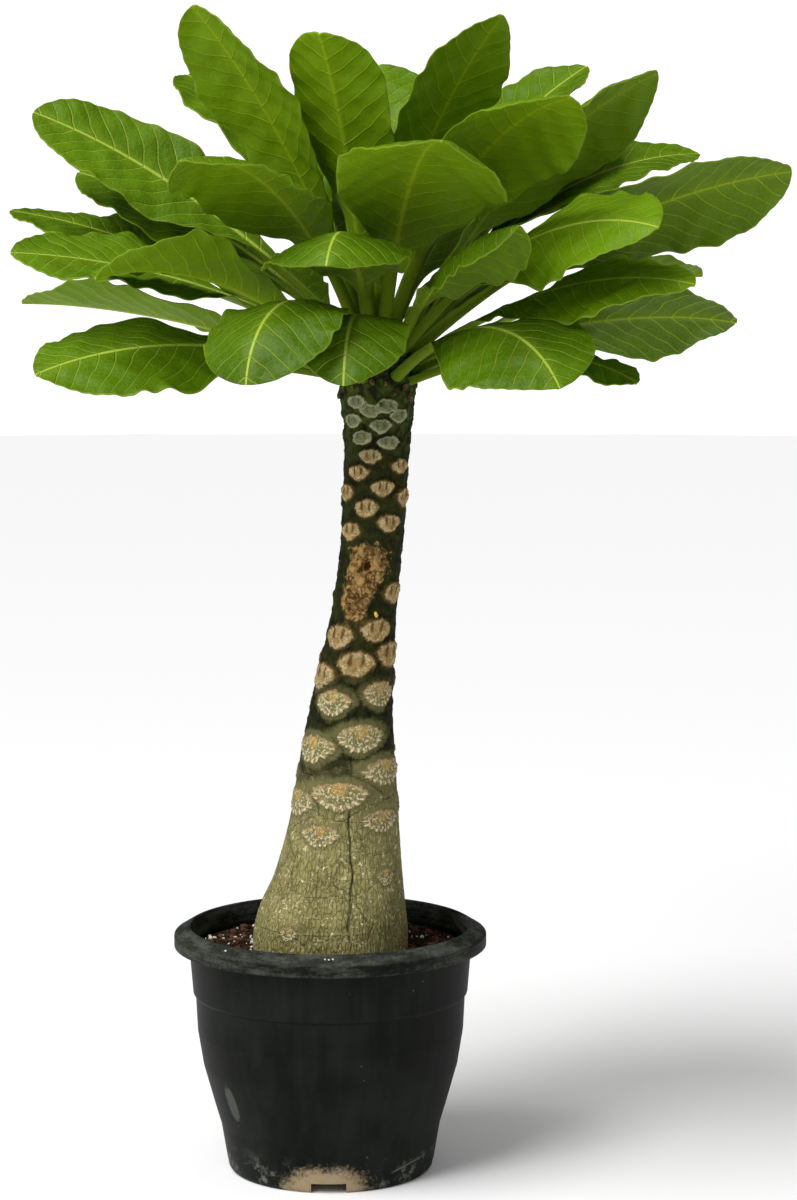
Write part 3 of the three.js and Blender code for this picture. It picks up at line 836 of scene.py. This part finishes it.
def scattered(spots: list[tuple[Vector, tuple[float, float, float]]], seed: int) -> Skin:
    """Small closed lumps in one skin, each a jittered ball.

    Args:
        spots: Each lump's middle and its three half sizes.
        seed: The seed of the jitter and the turns.

    Returns:
        The skin.
    """
    rng = np.random.default_rng(seed)
    ball = bpy.data.meshes.new("ball")
    made = bmesh.new()
    bmesh.ops.create_icosphere(made, subdivisions=2, radius=1.0)
    made.to_mesh(ball)
    made.free()
    base = np.array([v.co for v in ball.vertices])
    faces = np.array([p.vertices for p in ball.polygons])
    bpy.data.meshes.remove(ball)
    points, corners = [], []
    for i, (middle, half) in enumerate(spots):
        rough = base * (1 + rng.normal(0, 0.13, (len(base), 1)))
        flat = np.clip(rough, -0.8, 0.8) * np.array(half)
        tilt = Euler((*rng.uniform(-0.4, 0.4, 2), rng.uniform(0, 2 * math.pi)))
        points.append(flat @ np.array(tilt.to_matrix()).T + np.array(middle))
        corners.append(faces + i * len(base))
    return Skin(np.vstack(points), [np.vstack(corners)])


# The plant


def place_piece(piece: bpy.types.Object, slot: str, *nodes: str) -> None:
    """Fix a piece to the plant's one body.

    Args:
        piece: The piece.
        slot: Not used; it names the record's material slot.
        nodes: The solids that it stands for.
    """
    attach(piece, "root")
    if nodes:
        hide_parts(*nodes)
    LOG.info("%s: %d faces", piece.name, len(piece.data.polygons))


@dataclass
class Trunk:
    """The trunk: its form, its scars, the wound and the crease down its front."""

    columns: int = 220
    step: float = 1.25
    bottom: float = 70.0
    apex: float = 520.0
    back_drop: float = 4.0
    wound: tuple[float, float] = (266.0, 370.5)
    crease_x: float = 12.8
    crease_ends: tuple[float, float, float, float] = (130.0, 150.0, 318.0, 345.0)
    root: tuple[float, float] = (74.0, 132.0)
    head: tuple[float, float] = (478.0, 516.0)
    seat_floor: float = 479.0
    husk_count: int = 26
    husk_turn: float = 137.5
    husk_heights: tuple[float, float] = (466.0, 484.0)
    sap: tuple[float, float] = (291.0, 341.5)

    def __post_init__(self) -> None:
        """Sample the smooth curve through the trunk's rows."""
        rows = np.array(TRUNK_FORM, float)
        knots = rows[:, [2, 1, 0]]
        ahead = 2 * knots[0] - knots[1]
        behind = 2 * knots[-1] - knots[-2]
        padded = np.vstack([ahead, knots, behind])
        samples = []
        for i in range(1, len(padded) - 2):
            samples.append(self._span(padded[i - 1 : i + 3]))
        self.curve = np.vstack(samples + [knots[-1:]])

    @staticmethod
    def _span(four: np.ndarray) -> np.ndarray:
        """The smooth curve between the middle two of four points.

        Args:
            four: The points.

        Returns:
            Points along the span.
        """
        gaps = np.linalg.norm(np.diff(four, axis=0), axis=1) ** 0.5
        a, b, c, d = four
        start = (b - a) / gaps[0] - (c - a) / (gaps[0] + gaps[1]) + (c - b) / gaps[1]
        end = (c - b) / gaps[1] - (d - b) / (gaps[1] + gaps[2]) + (d - c) / gaps[2]
        start, end = start * gaps[1], end * gaps[1]
        t = np.linspace(0, 1, 24, endpoint=False)[:, None]
        cubic = 2 * b - 2 * c + start + end
        square = -3 * b + 3 * c - 2 * start - end
        return b + start * t + square * t**2 + cubic * t**3

    def at(self, z: np.ndarray | Number) -> tuple[np.ndarray, np.ndarray]:
        """The lean and the radius at a height."""
        heights = self.curve[:, 2]
        return np.interp(z, heights, self.curve[:, 0]), np.interp(z, heights, self.curve[:, 1])

    def on(self, azimuth: float, z: float, off: float) -> np.ndarray:
        """A point off the surface.

        Args:
            azimuth: Its direction from the axis, in degrees.
            z: Its height.
            off: How far outside the surface.

        Returns:
            The point.
        """
        lean, radius = self.at(z)
        turn = math.radians(azimuth)
        r = radius + off
        return np.array([lean + r * math.cos(turn), r * math.sin(turn), z])

    def seats(self, count: int) -> list[float]:
        """Heights that share the head's surface equally.

        Args:
            count: How many leaves.

        Returns:
            A height for each, from the lowest.
        """
        step = 0.25
        z = np.arange(self.seat_floor, TRUNK_FORM[-1][0], step)
        low, high = self.at(z)[1], self.at(z + step)[1]
        areas = np.concatenate([[0], np.cumsum((low + high) * np.hypot(step, high - low))])
        wanted = areas[-1] * (np.arange(count) + 0.5) / count
        return [self.seat_floor + step * int(np.argmax(areas >= w)) for w in wanted]

    def _scars(self) -> np.ndarray:
        """Every scar: azimuth, height, half width, half height and relief."""
        sizes = np.array(SCAR_SIZES, float)
        backs = [(azimuth - 180, z - self.back_drop) for azimuth, z in SCARS]
        rows = []
        for azimuth, z in SCARS + backs:
            rows.append([azimuth, z] + [np.interp(z, sizes[:, 0], sizes[:, k]) for k in (1, 2, 3)])
        return np.array(rows)

    def _relief(
        self, azimuth: np.ndarray, z: np.ndarray, radius: np.ndarray
    ) -> tuple[np.ndarray, dict[str, np.ndarray]]:
        """How far the skin stands out, and what the finish reads.

        Args:
            azimuth: Each point's azimuth.
            z: Each point's height.
            radius: The trunk's radius there.

        Returns:
            The relief, and the marks by name.
        """
        relief = np.zeros_like(z)
        nearest = np.full_like(z, 9.0)
        ragged = self._grain(azimuth, z, radius, 0.35)
        aside_of = np.zeros_like(z)
        down_of = np.zeros_like(z)
        for turn, height, half, tall, stand in self._scars():
            down = (z - height) / tall
            swing = np.radians((azimuth - turn + 180) % 360 - 180) * radius
            narrow = np.where(down < 0, 1 + 0.35 * np.clip(down, -2, 0), 1)
            aside = swing / (half * narrow)
            off = np.hypot(aside, np.where(down > 0, down * 1.12, down)) + 0.16 * ragged
            pad = stand * (1 - smoothstep(off, 0.78, 1.15))
            lip = 0.3 * bell(off - 0.9, 0.1) - 0.35 * bell(off, 0.6)
            angle = np.arctan2(down, aside)
            beads = 0.35 * np.sin(angle * SCAR_BEADS) * bell(off - 0.78, 0.14) * (down < 0.2)
            worn = 1 - smoothstep(np.array([height]), 282, 306)[0]
            relief = np.maximum(relief, pad + (lip + beads * worn) * min(1, stand))
            closer = off < nearest
            nearest = np.where(closer, off, nearest)
            aside_of = np.where(closer, aside, aside_of)
            down_of = np.where(closer, down, down_of)
        turn, height = self.wound
        swing = np.radians((azimuth - turn + 180) % 360 - 180) * radius
        reach = np.hypot(swing, z - height) * (1 + 0.3 * ragged)
        pit = bell(reach, 3.2)
        callus = bell(reach - 8.5, 4.2) + 0.8 * bell(np.hypot(swing + 5, (z - height + 20) / 1.6), 9)
        relief = relief * (1 - 0.7 * np.clip(callus + pit, 0, 1))
        relief = relief + (1.5 + 0.8 * ragged) * callus - 3.5 * pit
        lean = self.at(z)[0]
        x = lean + radius * np.cos(np.radians(azimuth))
        front = np.sin(np.radians(azimuth)) < 0
        wobble = 0.9 * np.sin(z * 0.11) + 0.5 * np.sin(z * 0.31)
        begins, ends = self.crease_ends[:2], self.crease_ends[2:]
        length = smoothstep(z, *begins) * (1 - smoothstep(z, *ends))
        crease = bell(x - self.crease_x - wobble, 0.9) * front * length
        relief = relief - 0.7 * crease
        marks = {
            "scar": np.stack([aside_of, down_of, nearest], axis=-1),
            "zone": np.stack([np.zeros_like(z), callus * 0.8 + pit * 2, crease], axis=-1),
        }
        return relief, marks

    @staticmethod
    def _grain(azimuth: np.ndarray, z: np.ndarray, radius: np.ndarray, pitch: float) -> np.ndarray:
        """Rough noise over the bark.

        Args:
            azimuth: Each point's azimuth.
            z: Each point's height.
            radius: The trunk's radius there.
            pitch: How many patches to a millimetre.

        Returns:
            The noise, about -1 to 1.
        """
        turn = np.radians(azimuth)
        spots = np.stack([radius * np.cos(turn), radius * np.sin(turn), z], axis=-1) * pitch
        rough = [noise.fractal(Vector(spot), 0.7, 2.1, 4) for spot in spots.reshape(-1, 3)]
        return np.array(rough).reshape(z.shape)

    def skin(self) -> Skin:
        """The trunk's whole skin, from the root to the apex."""
        root = np.linspace(*self.root, 14, endpoint=False)
        stem = np.arange(self.root[1], self.head[0], self.step)
        head = np.linspace(*self.head, 30)
        heights = np.concatenate([root, stem, head])
        turns = np.arange(self.columns) * 360 / self.columns
        azimuth, z = np.meshgrid(turns, heights)
        lean, radius = self.at(z)
        relief, marks = self._relief(azimuth, z, radius)
        shown = smoothstep(z, 136, 146)
        grit = self._grain(azimuth, z, radius, 0.22)
        up = smoothstep(z, 230, 290)
        high = smoothstep(z, 420, 445)
        out = radius + shown * (relief + grit * (lerp(0.2, 0.7, up) + high * 0.5))
        turn = np.radians(azimuth)
        grid = np.stack([lean + out * np.cos(turn), out * np.sin(turn), z], axis=-1)
        ends = [[0, 0, self.bottom], [float(self.at(self.apex)[0]), 0, self.apex]]
        made = closed(grid, ends)
        made.marks = {
            key: np.vstack([values.reshape(-1, 3), np.tile([0, 0, 9.0], (2, 1))])
            for key, values in marks.items()
        }
        return made

    def husks(self) -> Skin:
        """Dry brown leaf remains between the lowest petioles."""
        rng = np.random.default_rng(SEED + 2)
        spots = []
        for i in range(self.husk_count):
            spot = self.on(self.husk_turn * i, rng.uniform(*self.husk_heights), 0.9)
            half = (rng.uniform(1.0, 2.2), rng.uniform(0.8, 1.6), rng.uniform(1.5, 3.6))
            spots.append((Vector(spot), half))
        return scattered(spots, SEED + 2)

    def build(self) -> None:
        """Make the trunk, the dry husks at its top and a drop of sap on its front."""
        piece = self.skin().build("palm_trunk", BarkFinish().material())
        place_piece(piece, "trunk_bark", "trunk")
        husks = self.husks().build("dry_husks", Ground.HUSK.value.material())
        place_piece(husks, "trunk_bark")
        drop = scattered([(Vector(self.on(*self.sap, 1.3)), (1.7, 1.2, 2.2))], SEED)
        place_piece(drop.build("sap_drop", Ground.SAP.value.material()), "trunk_bark")


@dataclass
class Leaf:
    """One leaf: a petiole that opens into a waved, cupped blade."""

    azimuth: float
    root: float
    middle: float
    tip: float
    length: float
    width: float
    left: float
    right: float
    roll: float
    point: float
    number: int = 0
    seat: float = 0.0
    rows: int = 118
    columns: int = 33
    lamina: float = 1.3
    margin: float = 0.8
    petiole_share: float = 0.24
    widest_at: float = 0.64
    ripple: float = 3.0
    frill: float = 1.3
    sway: float = 2.2
    sunk: float = 2.5

    def half_width(self, share: np.ndarray) -> np.ndarray:
        """Half the width at shares of the length.

        Args:
            share: How far along the leaf each is.

        Returns:
            The half widths, laid flat.
        """
        flare = np.clip(1 - share / 0.12, 0, None) ** 2
        petiole = lerp(3.7, 4.3, flare) * min(1, 0.45 + self.width / 120)
        t = self.blade_share(share)
        rising = np.sin(np.pi / 2 * np.clip(t / self.widest_at, 0, 1)) ** 1.25
        late = np.clip((t - self.widest_at) / (1 - self.widest_at), 0, 0.998)
        falling = (1 - late ** (2.5 - 0.9 * self.point)) ** (0.5 + 0.35 * self.point)
        blade = self.width / 2 * np.where(t < self.widest_at, rising, falling)
        return np.hypot(petiole * (1 - 0.65 * t), blade)

    def blade_share(self, share: np.ndarray) -> np.ndarray:
        """How far along the blade, from 0 at the petiole's end to 1 at the tip."""
        return np.clip((share - self.petiole_share) / (1 - self.petiole_share), 0, 1)

    def spine(self, trunk: Trunk, shares: np.ndarray) -> list[np.ndarray]:
        """The midrib's points and frame.

        Args:
            trunk: The trunk that carries the leaf.
            shares: How far along the leaf each is.

        Returns:
            The places, the ways to the left, and the ways up, with a row for each share.
        """
        fine = 60
        s = np.arange(fine + 1) / fine
        rise = (1 - s) ** 2 * self.root + 2 * s * (1 - s) * self.middle + s * s * self.tip
        rise = np.radians(rise)
        way = math.radians(self.azimuth)
        lean = np.radians(self.roll * np.clip(s / 0.5, 0, 1))
        out = np.stack(
            [np.cos(rise) * math.cos(way), np.cos(rise) * math.sin(way), np.sin(rise)], axis=-1
        )
        flat_left = np.array([-math.sin(way), math.cos(way), 0])
        flat_up = np.cross(out, flat_left)
        left = flat_left * np.cos(lean)[:, None] + flat_up * np.sin(lean)[:, None]
        up = np.cross(out, left)
        start = trunk.on(self.azimuth, self.seat, -5)
        steps = np.vstack([[0, 0, 0], np.cumsum(out[:-1], axis=0)]) * self.length / fine
        place = start + steps
        return [
            np.stack([np.interp(shares, s, part[:, k]) for k in range(3)], axis=-1)
            for part in (place, left, up)
        ]

    def skin(self, trunk: Trunk) -> Skin:
        """The leaf's skin.

        Args:
            trunk: The trunk that carries it.

        Returns:
            One closed skin: its upper face, its margins and its under face.
        """
        begin = self.sunk / self.length
        u = np.linspace(0, 1, self.rows)
        share = (begin + (1 - begin) * (1 - (1 - u) ** 1.5))[:, None]
        v = np.sin(np.linspace(np.pi / 2, -np.pi / 2, self.columns))
        v = (0.55 * v + 0.45 * np.linspace(1, -1, self.columns))[None, :]
        out = np.abs(v)
        t = self.blade_share(share)
        half = self.half_width(share)
        place, left, up = (part[:, None, :] for part in self.spine(trunk, share[:, 0]))
        rib = lerp(4.4, self.lamina + 0.3, np.clip(share * 1.15, 0, 1))
        spread = smoothstep(share, 0.15, 0.5)
        cup = np.radians(lerp(18, np.where(v > 0, self.left, self.right), spread))
        bend = cup * (0.35 + 0.32 * out)
        phase = self.number * 2.4 + np.where(v > 0, 0, 1.9)
        wave = self.ripple * np.sin(np.pi * t) ** 0.7 * np.sin(t * 13 + phase)
        frill = np.sin(np.pi * t) ** 0.6 * np.sin(t * 37 + phase * 1.7 + 2 * np.sin(t * 9))
        sway = np.sin(np.pi * t) ** 0.5 * np.sin(t * 6.1 + phase * 2.3) * out**3
        uneven = 0.05 * math.sin(self.number * 1.7) * np.sign(v)
        half = half * (1 + uneven + 0.018 * np.sin(t * 21 + phase * 3.1) * smoothstep(t, 0.1, 0.4))
        across = v * half
        along = share * self.length
        far = np.abs(across)
        cycle = (along - far * VEIN_SLANT - far * far * VEIN_CURVE) / VEIN_STEP
        quilt = 0.3 * np.cos(2 * np.pi * cycle)
        quilt = quilt + 0.7 * np.sin(along * 0.13 + phase) * np.sin(far * 0.16 + phase * 2)
        quilt = quilt + 0.4 * np.sin(along * 0.29 + far * 0.21 + phase * 1.3)
        quilt = quilt * smoothstep(far, 1, 8) * smoothstep(t, 0.04, 0.2)
        groove = -0.45 * bell(across, 1.6) * smoothstep(t, 0.0, 0.2)
        lift = out * half * np.sin(bend) + v * v * wave + quilt + groove
        lift = lift + v**4 * frill * self.frill + sway * self.sway
        slope = np.sign(v) * cup * (0.35 + 0.65 * out)
        skin = lerp(self.lamina, self.margin, out)
        ridge = (rib - skin) * bell(across, lerp(4.0, 1.7, share))
        stalk = rib * (0.22 + 0.78 * np.sqrt(np.clip(1 - v * v, 0, 1)))
        thick = lerp(stalk, skin + ridge, smoothstep(t, 0, 0.25))
        top = place + up * lift[..., None] + left * (across * np.cos(bend))[..., None]
        down = -up * np.cos(slope)[..., None] + left * np.sin(slope)[..., None]
        under = top + down * thick[..., None]
        bulge = (thick * 0.4)[..., None] * left
        first = (top[:, :1] + under[:, :1]) / 2 + bulge[:, :1]
        last = (top[:, -1:] + under[:, -1:]) / 2 - bulge[:, -1:]
        loops = np.concatenate([first, top, last, under[:, ::-1]], axis=1)
        marks = self._marks(along, across, t, v)
        return Skin(loops.reshape(-1, 3), self._faces(), marks)

    def _marks(
        self, along: np.ndarray, across: np.ndarray, t: np.ndarray, v: np.ndarray
    ) -> dict[str, np.ndarray]:
        """What the leaf's finish reads at each point.

        Args:
            along: Millimetres out along the leaf.
            across: Millimetres to the left of the midrib.
            t: The share along the blade.
            v: The share of the way to the margin, minus on the right.

        Returns:
            The marks by name.
        """
        shape = np.broadcast_shapes(along.shape, across.shape)
        # The tint takes on the painted light and shade set for this leaf's number
        painted_light_and_shade = PAINTED_LEAF_LIGHT_AND_SHADE.get(self.number + 1, 0.0)
        tint_and_painted_light = np.full(shape, (self.number % 7) / 14 + self.number / 82 + painted_light_and_shade)

        def round_loop(values: np.ndarray) -> np.ndarray:
            """The values in the order of a loop's points."""
            full = np.broadcast_to(values, shape)
            return np.concatenate([full[:, :1], full, full[:, -1:], full[:, ::-1]], axis=1)

        above = np.concatenate(
            [
                np.full((shape[0], 1), 0.5),
                np.ones(shape),
                np.full((shape[0], 1), 0.5),
                np.zeros(shape),
            ],
            axis=1,
        )
        blade = np.stack([round_loop(along), round_loop(across), above], axis=-1)
        form = np.stack([round_loop(t), round_loop(v), round_loop(tint_and_painted_light)], axis=-1)
        return {"blade": blade.reshape(-1, 3), "form": form.reshape(-1, 3)}

    def _faces(self) -> list[np.ndarray]:
        """The faces: the sides, and a strip and two triangles at each end."""
        n = self.columns
        size = 2 * n + 2
        i = np.arange(1, n)
        strip = np.stack([i, i + 1, size - i - 1, size - i], axis=-1)
        corners = np.array([[0, 1, size - 1], [n, n + 1, n + 2]])
        end = (self.rows - 1) * size
        return [
            tube_faces(self.rows, size),
            np.vstack([strip[:, ::-1], strip + end]),
            np.vstack([corners[:, ::-1], corners + end]),
        ]


@dataclass
class Crown:
    """All the leaves on the trunk's head."""

    trunk: Trunk

    def build(self) -> None:
        """Make each leaf in its place."""
        material = LeafFinish().material()
        seats = self.trunk.seats(len(LEAVES))
        for number, (row, seat) in enumerate(zip(LEAVES, seats)):
            leaf = Leaf(*row, number=number, seat=seat)
            node = f"leaf_{number + 1:02d}"
            piece = leaf.skin(self.trunk).build(f"blade_{number + 1:02d}", material)
            place_piece(piece, "leaf_green", node)


@dataclass
class NurseryPot:
    """The pot: a tapered wall with a step, a wide rim band, a channelled floor and drain holes."""

    rim: float = 95.0
    height: float = 150.0
    chamfer: float = 5.0
    band: float = 7.3
    lip: float = 86.7
    plastic: float = 1.7
    foot: float = 60.8
    floor_radius: float = 61.4
    channel: float = 6.5
    columns: int = 180
    holes: int = 8
    hole_radius: float = 4.5
    hole_circle: float = 44.0
    hole_depth: float = 8.0
    notches: int = 4
    notch_width: float = 21.0
    notch_depth: float = 14.0
    fillet: float = 0.8
    crease: float = 38.0
    wall: tuple[tuple[float, float], ...] = (
        (62.7, 2.5), (64.8, 15), (67, 28), (70.6, 40), (77.6, 65), (81, 86), (82.1, 107.5),
        (83.6, 109),
    )

    def inner_wall(self) -> list[tuple[float, float]]:
        """The inside of the wall, from the floor up."""
        return [(r - self.plastic, z) for r, z in self.wall[1:7]]

    def profile(self) -> list[tuple[float, float]]:
        """The pot's section, from the middle of its underside round to the middle of its floor."""
        top = self.height - self.chamfer
        under_band = self.rim - self.plastic
        floor = self.channel + 2
        return [
            (0, 0), (28, 0), (30, self.channel), (56.5, self.channel), (57.5, 0), (self.foot, 0),
            *self.wall,
            (self.lip, self.height - 3),
            (under_band, top - 2),
            (under_band, top - self.band),
            (self.rim, top - self.band),
            (self.rim, top),
            (self.lip, self.height),
            (self.lip - self.plastic, self.height),
            *reversed(self.inner_wall()),
            (self.floor_radius, floor), (31, floor), (28, 2), (0, 2),
        ]

    def cutter(self) -> bpy.types.Object:
        """The foot's notches and the drain holes, as one object to cut with."""
        made = bmesh.new()
        for i in range(self.notches):
            turn = math.radians(-90 + 360 / self.notches * i)
            box = bmesh.ops.create_cube(made, size=1.0)["verts"]
            for vert in box:
                x = (vert.co.x * self.notch_depth + self.foot) * MM
                y = vert.co.y * self.notch_width * MM
                z = vert.co.z * 2 * (self.channel - 0.4) * MM
                vert.co = (x * math.cos(turn) - y * math.sin(turn),
                           x * math.sin(turn) + y * math.cos(turn), z)
        for i in range(self.holes):
            turn = math.radians(360 / self.holes * (i + 0.5))
            radius, depth = self.hole_radius * MM, self.hole_depth * MM
            ring = bmesh.ops.create_cone(
                made, cap_ends=True, segments=32, radius1=radius, radius2=radius, depth=depth
            )["verts"]
            shift = Vector((math.cos(turn), math.sin(turn), 0)) * self.hole_circle * MM
            for vert in ring:
                vert.co += shift + Vector((0, 0, (self.channel + 1) * MM))
        mesh = bpy.data.meshes.new("pot_cutter")
        made.to_mesh(mesh)
        made.free()
        return put_in_scene("pot_cutter", mesh)

    def build(self) -> None:
        """Make the pot."""
        skin = turned(softened(self.profile(), self.fillet), self.columns)
        piece = skin.build("nursery_pot", PotFinish().material())
        cutter = self.cutter()
        cut = piece.modifiers.new("cut", "BOOLEAN")
        cut.operation = "DIFFERENCE"
        cut.solver = "EXACT"
        cut.object = cutter
        graph = bpy.context.evaluated_depsgraph_get()
        whole = bpy.data.meshes.new_from_object(piece.evaluated_get(graph))
        piece.modifiers.clear()
        piece.data = whole
        whole.set_sharp_from_angle(angle=math.radians(self.crease))
        bpy.data.objects.remove(cutter)
        place_piece(piece, "pot_plastic", "pot")


@dataclass
class PottingSoil:
    """The soil: peat with bark bits and perlite lying in its top."""

    pot: NurseryPot
    trunk: Trunk
    level: float = 136.0
    gap: float = 0.3
    lump: float = 1.6
    bits: int = 620
    grains: int = 150
    strewn: tuple[float, float] = (47.5, 80.0)
    columns: int = 220
    rings: int = 46
    hole_heights: tuple[float, ...] = (134.0, 120.0, 104.0, 94.0, 84.0, 78.0, 74.0)
    crumbs: tuple[tuple[float, float], ...] = (
        (-1, -90.5), (1.2, -91.5), (3.5, -90), (-60, -68), (42, 80),
    )

    def lumps(self, x: np.ndarray, y: np.ndarray) -> np.ndarray:
        """How far the top stands over its level.

        Args:
            x: Each point's place to the right.
            y: Each point's place to the back.

        Returns:
            The heights.
        """
        broad = np.sin(x * 0.09 + 1.3) * np.cos(y * 0.11 - 0.4)
        fine = np.sin(x * 0.31 - y * 0.23) * np.cos(y * 0.37 + x * 0.12)
        return self.lump * (0.6 * broad + 0.4 * fine)

    def skin(self) -> Skin:
        """The soil's skin: the pot's inside below, the crumbly top, and the trunk's own hole."""
        wall = [(r - self.gap, z) for r, z in self.pot.inner_wall() if z < self.level]
        edge = wall[-1][0] + 0.6
        floor = self.pot.channel + 2 + self.gap
        bottom = 2 + self.gap
        hole = [(float(self.trunk.at(z)[1]) - 0.2, z) for z in self.hole_heights]
        inner = float(self.trunk.at(self.level)[1]) - 0.6
        top = [(r, self.level) for r in np.linspace(edge, inner, self.rings)]
        profile = [
            (0, bottom), (27, bottom), (30.6, floor), (60.8, floor), *wall, *top, *hole, (0, 70),
        ]
        skin = turned(profile, self.columns)
        x, y, z = skin.points.T
        reach = np.hypot(x, y)
        shown = (z > self.level - 0.01) & (reach < edge - 0.5) & (reach > inner + 0.5)
        rough = np.array(
            [noise.fractal(Vector((a, b, 3.0)) * 0.32, 0.8, 2.0, 5) for a, b in zip(x, y)]
        )
        skin.points[:, 2] += shown * (self.lumps(x, y) + 1.3 * rough)
        return skin

    def spots(self, count: int, size: tuple[float, float], flat: float, seed: int) -> list:
        """Where loose bits lie on the top.

        Args:
            count: How many.
            size: The least and greatest half length.
            flat: A bit's thickness as a share of its length.
            seed: The seed.

        Returns:
            The middles and half sizes.
        """
        rng = np.random.default_rng(seed)
        spots = []
        for _ in range(count):
            reach = math.sqrt(rng.uniform(self.strewn[0] ** 2, self.strewn[1] ** 2))
            turn = rng.uniform(0, 2 * math.pi)
            x, y = reach * math.cos(turn), reach * math.sin(turn)
            long = size[0] + (size[1] - size[0]) * rng.uniform() ** 2
            half = (long, long * rng.uniform(0.35, 0.8), long * flat)
            z = self.level + float(self.lumps(np.array(x), np.array(y))) + 0.3 * half[2]
            spots.append((Vector((x, y, z)), half))
        return spots

    def build(self) -> None:
        """Make the soil and what lies in it."""
        piece = self.skin().build("potting_soil", Ground.PEAT.value.material())
        place_piece(piece, "potting_soil", "soil")
        bark = scattered(self.spots(self.bits, (1.0, 4.0), 0.4, SEED), SEED)
        place_piece(bark.build("bark_bits", Ground.BARK.value.material()), "potting_soil")
        spots = self.spots(self.grains, (0.7, 2.0), 0.85, SEED + 1)
        for x, y in self.crumbs:
            spots.append((Vector((x, y, self.pot.height - 1.8)), (0.8, 0.7, 0.6)))
        perlite = scattered(spots, SEED + 1)
        place_piece(perlite.build("perlite", Ground.PERLITE.value.material()), "potting_soil")


@dataclass
class Studio:
    """The pale floor, the white room, the soft light and the camera."""

    eye: tuple[float, float, float] = (0.0415, -1.8, 0.538)
    pitch: float = 6.02
    lens: float = 90.12
    room_radius: float = 9000
    floor_thickness: float = 50
    dome_glow: float = 0.4
    ambient: float = 0.42
    sun_from: tuple[float, float, float] = (-0.45, -0.35, 1.0)
    sun_power: float = 2.2
    sun_spread: float = 32
    lamp_from: tuple[float, float, float] = (-1.4, -1.8, 1.9)
    lamp_power: float = 30
    lamp_size: float = 1.0
    middle: tuple[float, float, float] = (0.03, 0, 0.4)

    def floor(self) -> None:
        """A wide round floor."""
        edge, under = self.room_radius, -self.floor_thickness
        skin = turned([(0, under), (edge, under), (edge, 0), (0, 0)], 96)
        floor = skin.build("studio_floor", StudioFinish().material())
        floor.data.shade_flat()

    def backdrop(self) -> None:
        """A white dome round the floor, which only the camera sees."""
        rises = np.radians(np.linspace(-90, 90, 41))
        section = [(self.room_radius * math.cos(a), self.room_radius * math.sin(a)) for a in rises]
        finish = StudioFinish("backdrop", self.dome_glow)
        dome = turned(section, 64).build("studio_backdrop", finish.material())
        for ray in ("diffuse", "glossy", "transmission", "shadow"):
            setattr(dome, f"visible_{ray}", False)

    @staticmethod
    def light(name: str, kind: str, power: float, aim: Vector) -> bpy.types.Object:
        """A light.

        Args:
            name: Its name.
            kind: Its type, SUN or AREA.
            power: Its power.
            aim: Which way it shines.

        Returns:
            The light, at the origin.
        """
        data = bpy.data.lights.new(name, kind)
        data.energy = power
        light = put_in_scene(name, data)
        light.rotation_euler = aim.to_track_quat("-Z", "Y").to_euler()
        return light

    def lights(self) -> None:
        """A soft sun from above and the left, and a soft square lamp in front of the plant."""
        sun = self.light("sun", "SUN", self.sun_power, -Vector(self.sun_from))
        sun.data.angle = math.radians(self.sun_spread)
        aim = Vector(self.middle) - Vector(self.lamp_from)
        lamp = self.light("front_left", "AREA", self.lamp_power, aim)
        lamp.data.size = self.lamp_size
        lamp.location = self.lamp_from

    def air(self) -> None:
        """The light that comes from all round."""
        world = bpy.data.worlds.new("white_room")
        bpy.context.scene.world = world
        world.use_nodes = True
        background = world.node_tree.nodes["Background"]
        background.inputs["Color"].default_value = (1.0, 1.0, 1.0, 1.0)
        background.inputs["Strength"].default_value = self.ambient
        world.cycles_visibility.glossy = False

    def camera(self) -> None:
        """The camera at the photograph's place."""
        data = bpy.data.cameras.new("camera")
        data.lens = self.lens
        data.sensor_width = 36
        data.clip_end = 50
        camera = put_in_scene("camera", data)
        camera.location = self.eye
        camera.rotation_euler = (math.radians(90 - self.pitch), 0, 0)
        bpy.context.scene.camera = camera

    def build(self) -> None:
        """Set up the studio."""
        self.camera()
        self.floor()
        self.backdrop()
        self.air()
        self.lights()
        bpy.context.scene.view_settings.view_transform = "Standard"


def main() -> None:
    """Build the plant and its studio."""
    logging.basicConfig(level=logging.INFO, format="%(message)s")
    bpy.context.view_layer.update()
    Studio().build()
    trunk = Trunk()
    pot = NurseryPot()
    pot.build()
    PottingSoil(pot, trunk).build()
    trunk.build()
    Crown(trunk).build()


if __name__ == "__main__":
    main()
